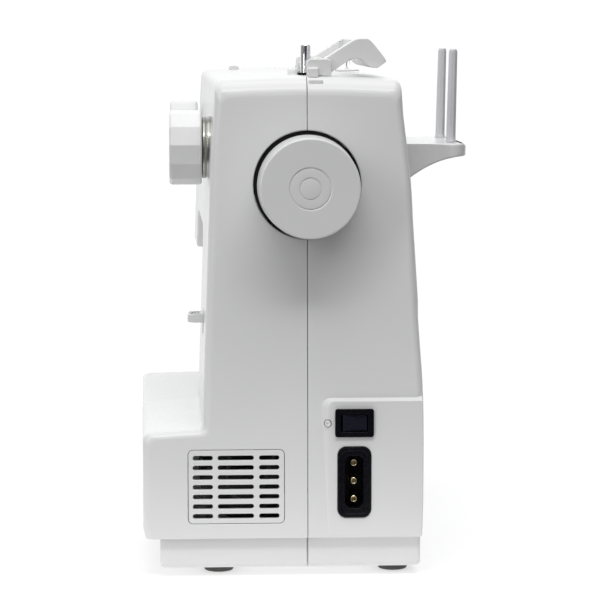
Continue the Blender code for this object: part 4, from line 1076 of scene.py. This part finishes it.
def make_carry_handle():
    y, z = HANDLE_PIVOT
    hub = arc((y, z), 5.2, 55, 325, 36)
    under = [(14.6, 284.2), (17.9, 286.6), (24.1, 290.8), (27.4, 292.0), (30.7, 292.0), (36.0, 288.0),
             (38.3, 286.9), (41.2, 286.9)]
    over = [(45.9, 290.4), (44.9, 292.7), (37.3, 302.1), (33.6, 303.5), (29.3, 303.3), (26.5, 302.1)]
    outline = hub + smooth_line(under, 2) + smooth_line(over, 3)
    bail = make_object("carry_handle_bail", prism(outline, "X", *HANDLE_X))
    inside = (HANDLE_X[0] + HANDLE_ARM_WIDTH, HANDLE_X[1] - HANDLE_ARM_WIDTH)
    gap = prism(rounded_rect(inside, (-20.0, 28.0), 5.0, 8), "Z", 270.0, 320.0)
    shape(bail, minus(gap))
    round_edges(bail, 0.6, 3, lambda p: True, 50.0)
    shape(bail, minus(prism(circle((y, z), 2.4, 32), "X", -160.0, -10.0)))
    dress(bail, "white", "carry_handle", 0.25)


def make_handle_brackets():
    y, z = HANDLE_PIVOT
    foot = BODY_TOP_Z + CROWN + GAP
    sides = (("handle_bracket_right", 1, HANDLE_X[1] + 0.6),
             ("handle_bracket_left", -1, HANDLE_X[0] - 0.6))
    for name, side, inner in sides:
        body = [(y - 6.8, foot), (y + 6.8, foot)]
        body += arc((y + 4.6, z + 2.2), 2.2, 0, 90, 8) + arc((y - 4.6, z + 2.2), 2.2, 90, 180, 8)
        bracket = make_object(name + "_cheek", prism(body, "X", *sorted((inner, inner + side * 9.0))))
        reach = sorted((inner + side * 8.0, inner + side * 12.0))
        lug = block(reach, (y - 6.4, y - 0.7), (foot - 0.8, 287.0))
        pin = sorted((inner + side * 2.0, inner - side * (HANDLE_ARM_WIDTH - 1.0)))
        shape(bracket, plus(lug), plus(prism(circle((y, z), 2.0, 32), "X", *pin)))
        dress(bracket, "white", name, 0.5, 3)
    shoe = make_object("handle_bracket_shoe", block((-19.0, -11.6), (0.9, 9.0), (276.6, 280.6)))
    round_edges(shoe, 0.5, 3, lambda p: True)
    dress(shoe, "white", None, 0)


def make_spool_stand():
    back = BRACKET_BACK_Y
    top = BRACKET_TOP_Z
    reach = back - BRACKET_ROOT_Y
    under = []
    for step in range(25):
        share = 1.0 - step / 24
        under.append((back - share * reach, BRACKET_UNDER_Z - BRACKET_DROP * share * share))
    outline = under + [(back, top - 1.5), (back - 0.4, top - 0.5), (back - 1.5, top), (57.4, top)]
    stand = make_object("spool_stand", prism(outline, "X", *BRACKET_X))
    left, right = BRACKET_X
    corner = BRACKET_CORNER
    plan = [(right, 40.0)] + arc((right - corner, back - corner), corner, 0, 90, 14)
    plan += arc((left + corner, back - corner), corner, 90, 180, 14) + [(left, 40.0)]
    shape(stand, ("INTERSECT", prism(plan, "Z", 200.0, 260.0)))
    round_edges(stand, 1.2, 4, lambda p: p.y > BRACKET_ROOT_Y + 0.5, 35.0)
    dress(stand, "white", "spool_bracket", 0.3)
    profile = ((3.2, top + GAP), (3.2, top + 1.2), (2.9, top + 1.8), (2.85, 250.0), (2.6, 295.4),
               (2.3, 296.8), (1.7, 297.4))
    for name, x in zip(("spool_pin_right", "spool_pin_left"), SPOOL_X):
        rings = []
        for radius, z in profile:
            centre = (x, SPOOL_Y + (z - top) * SPOOL_PIN_LEAN)
            rings.append([(a, b, z) for a, b in circle(centre, radius, 8, 22.5)])
        dress(make_object(name + "_post", loft(rings)), "grey", name, 0.2, 2, 20.0)


def make_thread_guides():
    x, y = THREAD_GUIDE
    disc = [(0, 282.2), (8.0, 282.2), (8.0, 282.8), (7.8, 283.0), (3.0, 283.2), (1.6, 283.4),
            (1.2, 284.0), (0, 284.1)]
    plate = make_object("thread_guide_disc", turned(disc, "Z", THREAD_GUIDE, 48))
    dress(plate, "ivory", "thread_guide", 0)
    bow = [(x, y + 0.3, 283.6), (x, y - 0.3, 285.2), (x, y - 0.3, 286.8), (x, y + 0.4, 288.2)]
    wire = make_object("thread_guide_wire", tube(smooth_line(bow, 5), 0.4))
    dress(wire, "chrome", None, 0)
    nub = [(-37.5, 282.1), (-37.5, 283.2), (-36.0, 284.2), (-32.0, 284.2), (-30.7, 283.2), (-30.7, 282.1)]
    guide = make_object("head_guide", prism(nub, "X", -313.0, -301.0))
    dress(guide, "ivory", "head_thread_guide", 0.3, 3)


def make_bobbin_winder():
    sleeve = [(3.4, 262.0), (7.0, 262.0), (7.0, 264.0), (4.1, 264.6), (4.1, 282.6), (4.9, 282.7),
              (4.9, 283.5), (4.6, 283.8), (3.4, 283.8)]
    collar = make_object("winder_collar", turned(sleeve, "Z", WINDER, 64, hollow=True))
    dress(collar, "black", "winder_sleeve", 0)
    spindle = [(0, 249.0), (10.0, 249.0), (10.0, 255.0), (2.9, 255.6), (2.9, 299.2), (2.75, 299.5),
               (2.4, 299.7), (0.9, 299.7), (0.5, 299.3), (0, 299.3)]
    shaft = make_object("winder_shaft", turned(spindle, "Z", WINDER, 64))
    dress(shaft, "polished", "winder_spindle", 0)


# ---- sewing head and bed

def make_needle_parts():
    bar = [(0, 110.0), (3.0, 110.0), (3.25, 110.3), (3.25, 273.0), (2.4, 274.0), (0, 274.0)]
    dress(make_object("needle_rod", turned(bar, "Z", NEEDLE, 48)), "chrome", "needle_bar", 0)
    ring = [(3.55, 108.0), (5.6, 108.0), (6.0, 108.4), (6.0, 117.6), (5.6, 118.0), (3.55, 118.0)]
    clamp = make_object("needle_holder", turned(ring, "Z", NEEDLE, 48, hollow=True))
    screw = [(0, 5.2), (1.5, 5.2), (1.5, 9.0), (2.2, 9.4), (2.2, 14.6), (1.8, 15.0), (0, 15.0)]
    screw = [(radius, NEEDLE[0] + along) for radius, along in screw]
    shape(clamp, plus(turned(screw, "X", (NEEDLE[1], 113.0), 24)))
    dress(clamp, "chrome", "needle_clamp", 0.15)
    needle = [(0, 78.0), (0.2, 78.8), (0.42, 80.6), (0.6, 84.0), (0.6, 100.0), (0.8, 101.2), (1.1, 102.0),
              (1.1, 109.6), (0, 109.6)]
    dress(make_object("sewing_needle", turned(needle, "Z", NEEDLE, 24)), "chrome", "needle", 0)


def make_presser_parts():
    x = NEEDLE[0]
    bar = [(0, 90.0), (3.2, 90.0), (3.5, 90.3), (3.5, 258.0), (2.6, 259.0), (0, 259.0)]
    shank = make_object("presser_rod", turned(bar, "Z", (x, PRESSER_Y), 48))
    ankle = prism(rounded_rect((x - 5.0, x + 5.0), (7.0, 18.5), 1.5, 6), "Z", 84.0, 98.0)
    spans = ((x - 4.8, x - 1.9), (x + 1.9, x + 4.8))
    cheeks = [plus(block(span, (6.0, 12.5), (75.0, 86.0))) for span in spans]
    axle = prism(circle(FOOT_PIVOT, 1.0, 24), "X", x - 3.0, x + 3.0)
    shape(shank, plus(ankle), *cheeks, plus(axle))
    dress(shank, "chrome", "presser_bar", 0.3)
    sole = [(11.5, 70.3), (11.5, 72.0), (-12.0, 72.0)]
    sole += smooth_line([(-13.6, 72.3), (-15.6, 73.4), (-17.4, 74.7)], 3)
    sole += [(-18.2, 74.0)] + smooth_line([(-16.2, 72.2), (-14.6, 70.9), (-13.0, 70.3)], 3)
    foot = make_object("presser_sole_plate", prism(sole, "X", x - 8.5, x + 8.5))
    tongue = [(6.0, 71.0), (12.0, 71.0)] + arc(FOOT_PIVOT, 3.0, 0, 180, 16)
    shape(foot,
          plus(prism(tongue, "X", x - 1.5, x + 1.5)),
          minus(prism(circle(FOOT_PIVOT, 1.35, 24), "X", x - 4.0, x + 4.0)),
          minus(prism(rounded_rect((x - 2.2, x + 2.2), (-9.0, 1.5), 1.4, 8), "Z", 65.0, 80.0)),
          minus(block((x - 0.8, x + 0.8), (-22.0, -8.0), (65.0, 80.0))))
    dress(foot, "chrome", "presser_foot", 0.25)
    px, pz = PRESSER_LEVER_PIVOT
    arm = arc((px, pz), 6.0, -20.6, 159.4, 24)
    arm += smooth_line([(px - 3.8, pz - 6.0), (px - 1.0, pz - 18.0), (px + 8.0, pz - 33.0)], 6)
    arm += arc((px + 10.8, pz - 31.8), 2.9, 215, 380, 12)
    lever = make_object("presser_lift", prism(arm, "Y", 30.6, 35.6))
    dress(lever, "ivory", "presser_lever", 0.6, 3)


def make_bed_parts():
    x = NEEDLE[0]
    plate = make_object("stitch_plate", prism(plate_outline(0.0), "Z", 67.4, ARM_TOP_Z))
    feed_slots = [rounded_rect((left, left + 4.6), (-16.0, 16.0), 1.2, 6) for left in (-326.8, -313.8)]
    needle_hole = rounded_rect((x - 3.2, x + 3.2), (-3.3, -0.7), 1.25, 8)
    cuts = [minus(prism(hole, "Z", *BED_CUT)) for hole in (*feed_slots, needle_hole)]
    for mark in (-313.0, -308.0, -303.0):
        cuts.append(minus(block((mark - 0.15, mark + 0.15), (-24.5, -12.0), (68.85, 70.0))))
    shape(plate, *cuts)
    dress(plate, "steel", "needle_plate", 0.2)


KEPT_EDGE = 0.25


def keep(node, material):
    """A CAD node that stays: given its finish, and edges that are rounded by modifiers."""
    thing = frame["nodes"][node]
    thing.data.materials.clear()
    thing.data.materials.append(PALETTE[material])
    if "custom_normal" in thing.data.attributes:
        thing.data.attributes.remove(thing.data.attributes["custom_normal"])
    thing.data.shade_smooth()
    weld = thing.modifiers.new("weld", "WELD")
    weld.merge_threshold = 0.01 * MM
    bevel = thing.modifiers.new("edge", "BEVEL")
    bevel.width = KEPT_EDGE * MM
    bevel.segments = 2
    bevel.limit_method = "ANGLE"
    bevel.angle_limit = radians(32.0)
    thing.modifiers.new("normals", "WEIGHTED_NORMAL")


KEPT = {
    "chassis": "casting", "upper_bush_right": "brass", "upper_bush_left": "brass",
    "motor": "dark_steel", "motor_belt": "rubber", "timing_belt": "rubber", "bobbin_case": "chrome",
    "upper_shaft": "steel", "lower_shaft": "steel", "main_pulley": "drive",
    "upper_timing_pulley": "drive", "lower_timing_pulley": "nylon", "motor_pulley": "drive",
    "needle_crank": "steel", "needle_link": "steel", "take_up_lever": "chrome",
    "shuttle_hook": "steel", "bobbin": "nylon", "feed_bar": "steel", "feed_dog": "steel",
    "lamp": "lamp",
}


PALETTE = make_palette()
set_view()
make_camera()
make_world()
make_lights()
make_floor()

make_front_cover()
make_rear_cover()
make_panel_step()
make_face_cover()
make_free_arm()
make_shuttle_flap()
make_base_pan()
make_feet()
make_tray()
make_handwheel()
make_vent_grille()
make_switch()
make_inlet()
make_screw_plug()
make_dials()
make_reverse_lever()
make_carry_handle()
make_handle_brackets()
make_spool_stand()
make_thread_guides()
make_bobbin_winder()
make_needle_parts()
make_presser_parts()
make_bed_parts()
for node, material in KEPT.items():
    keep(node, material)
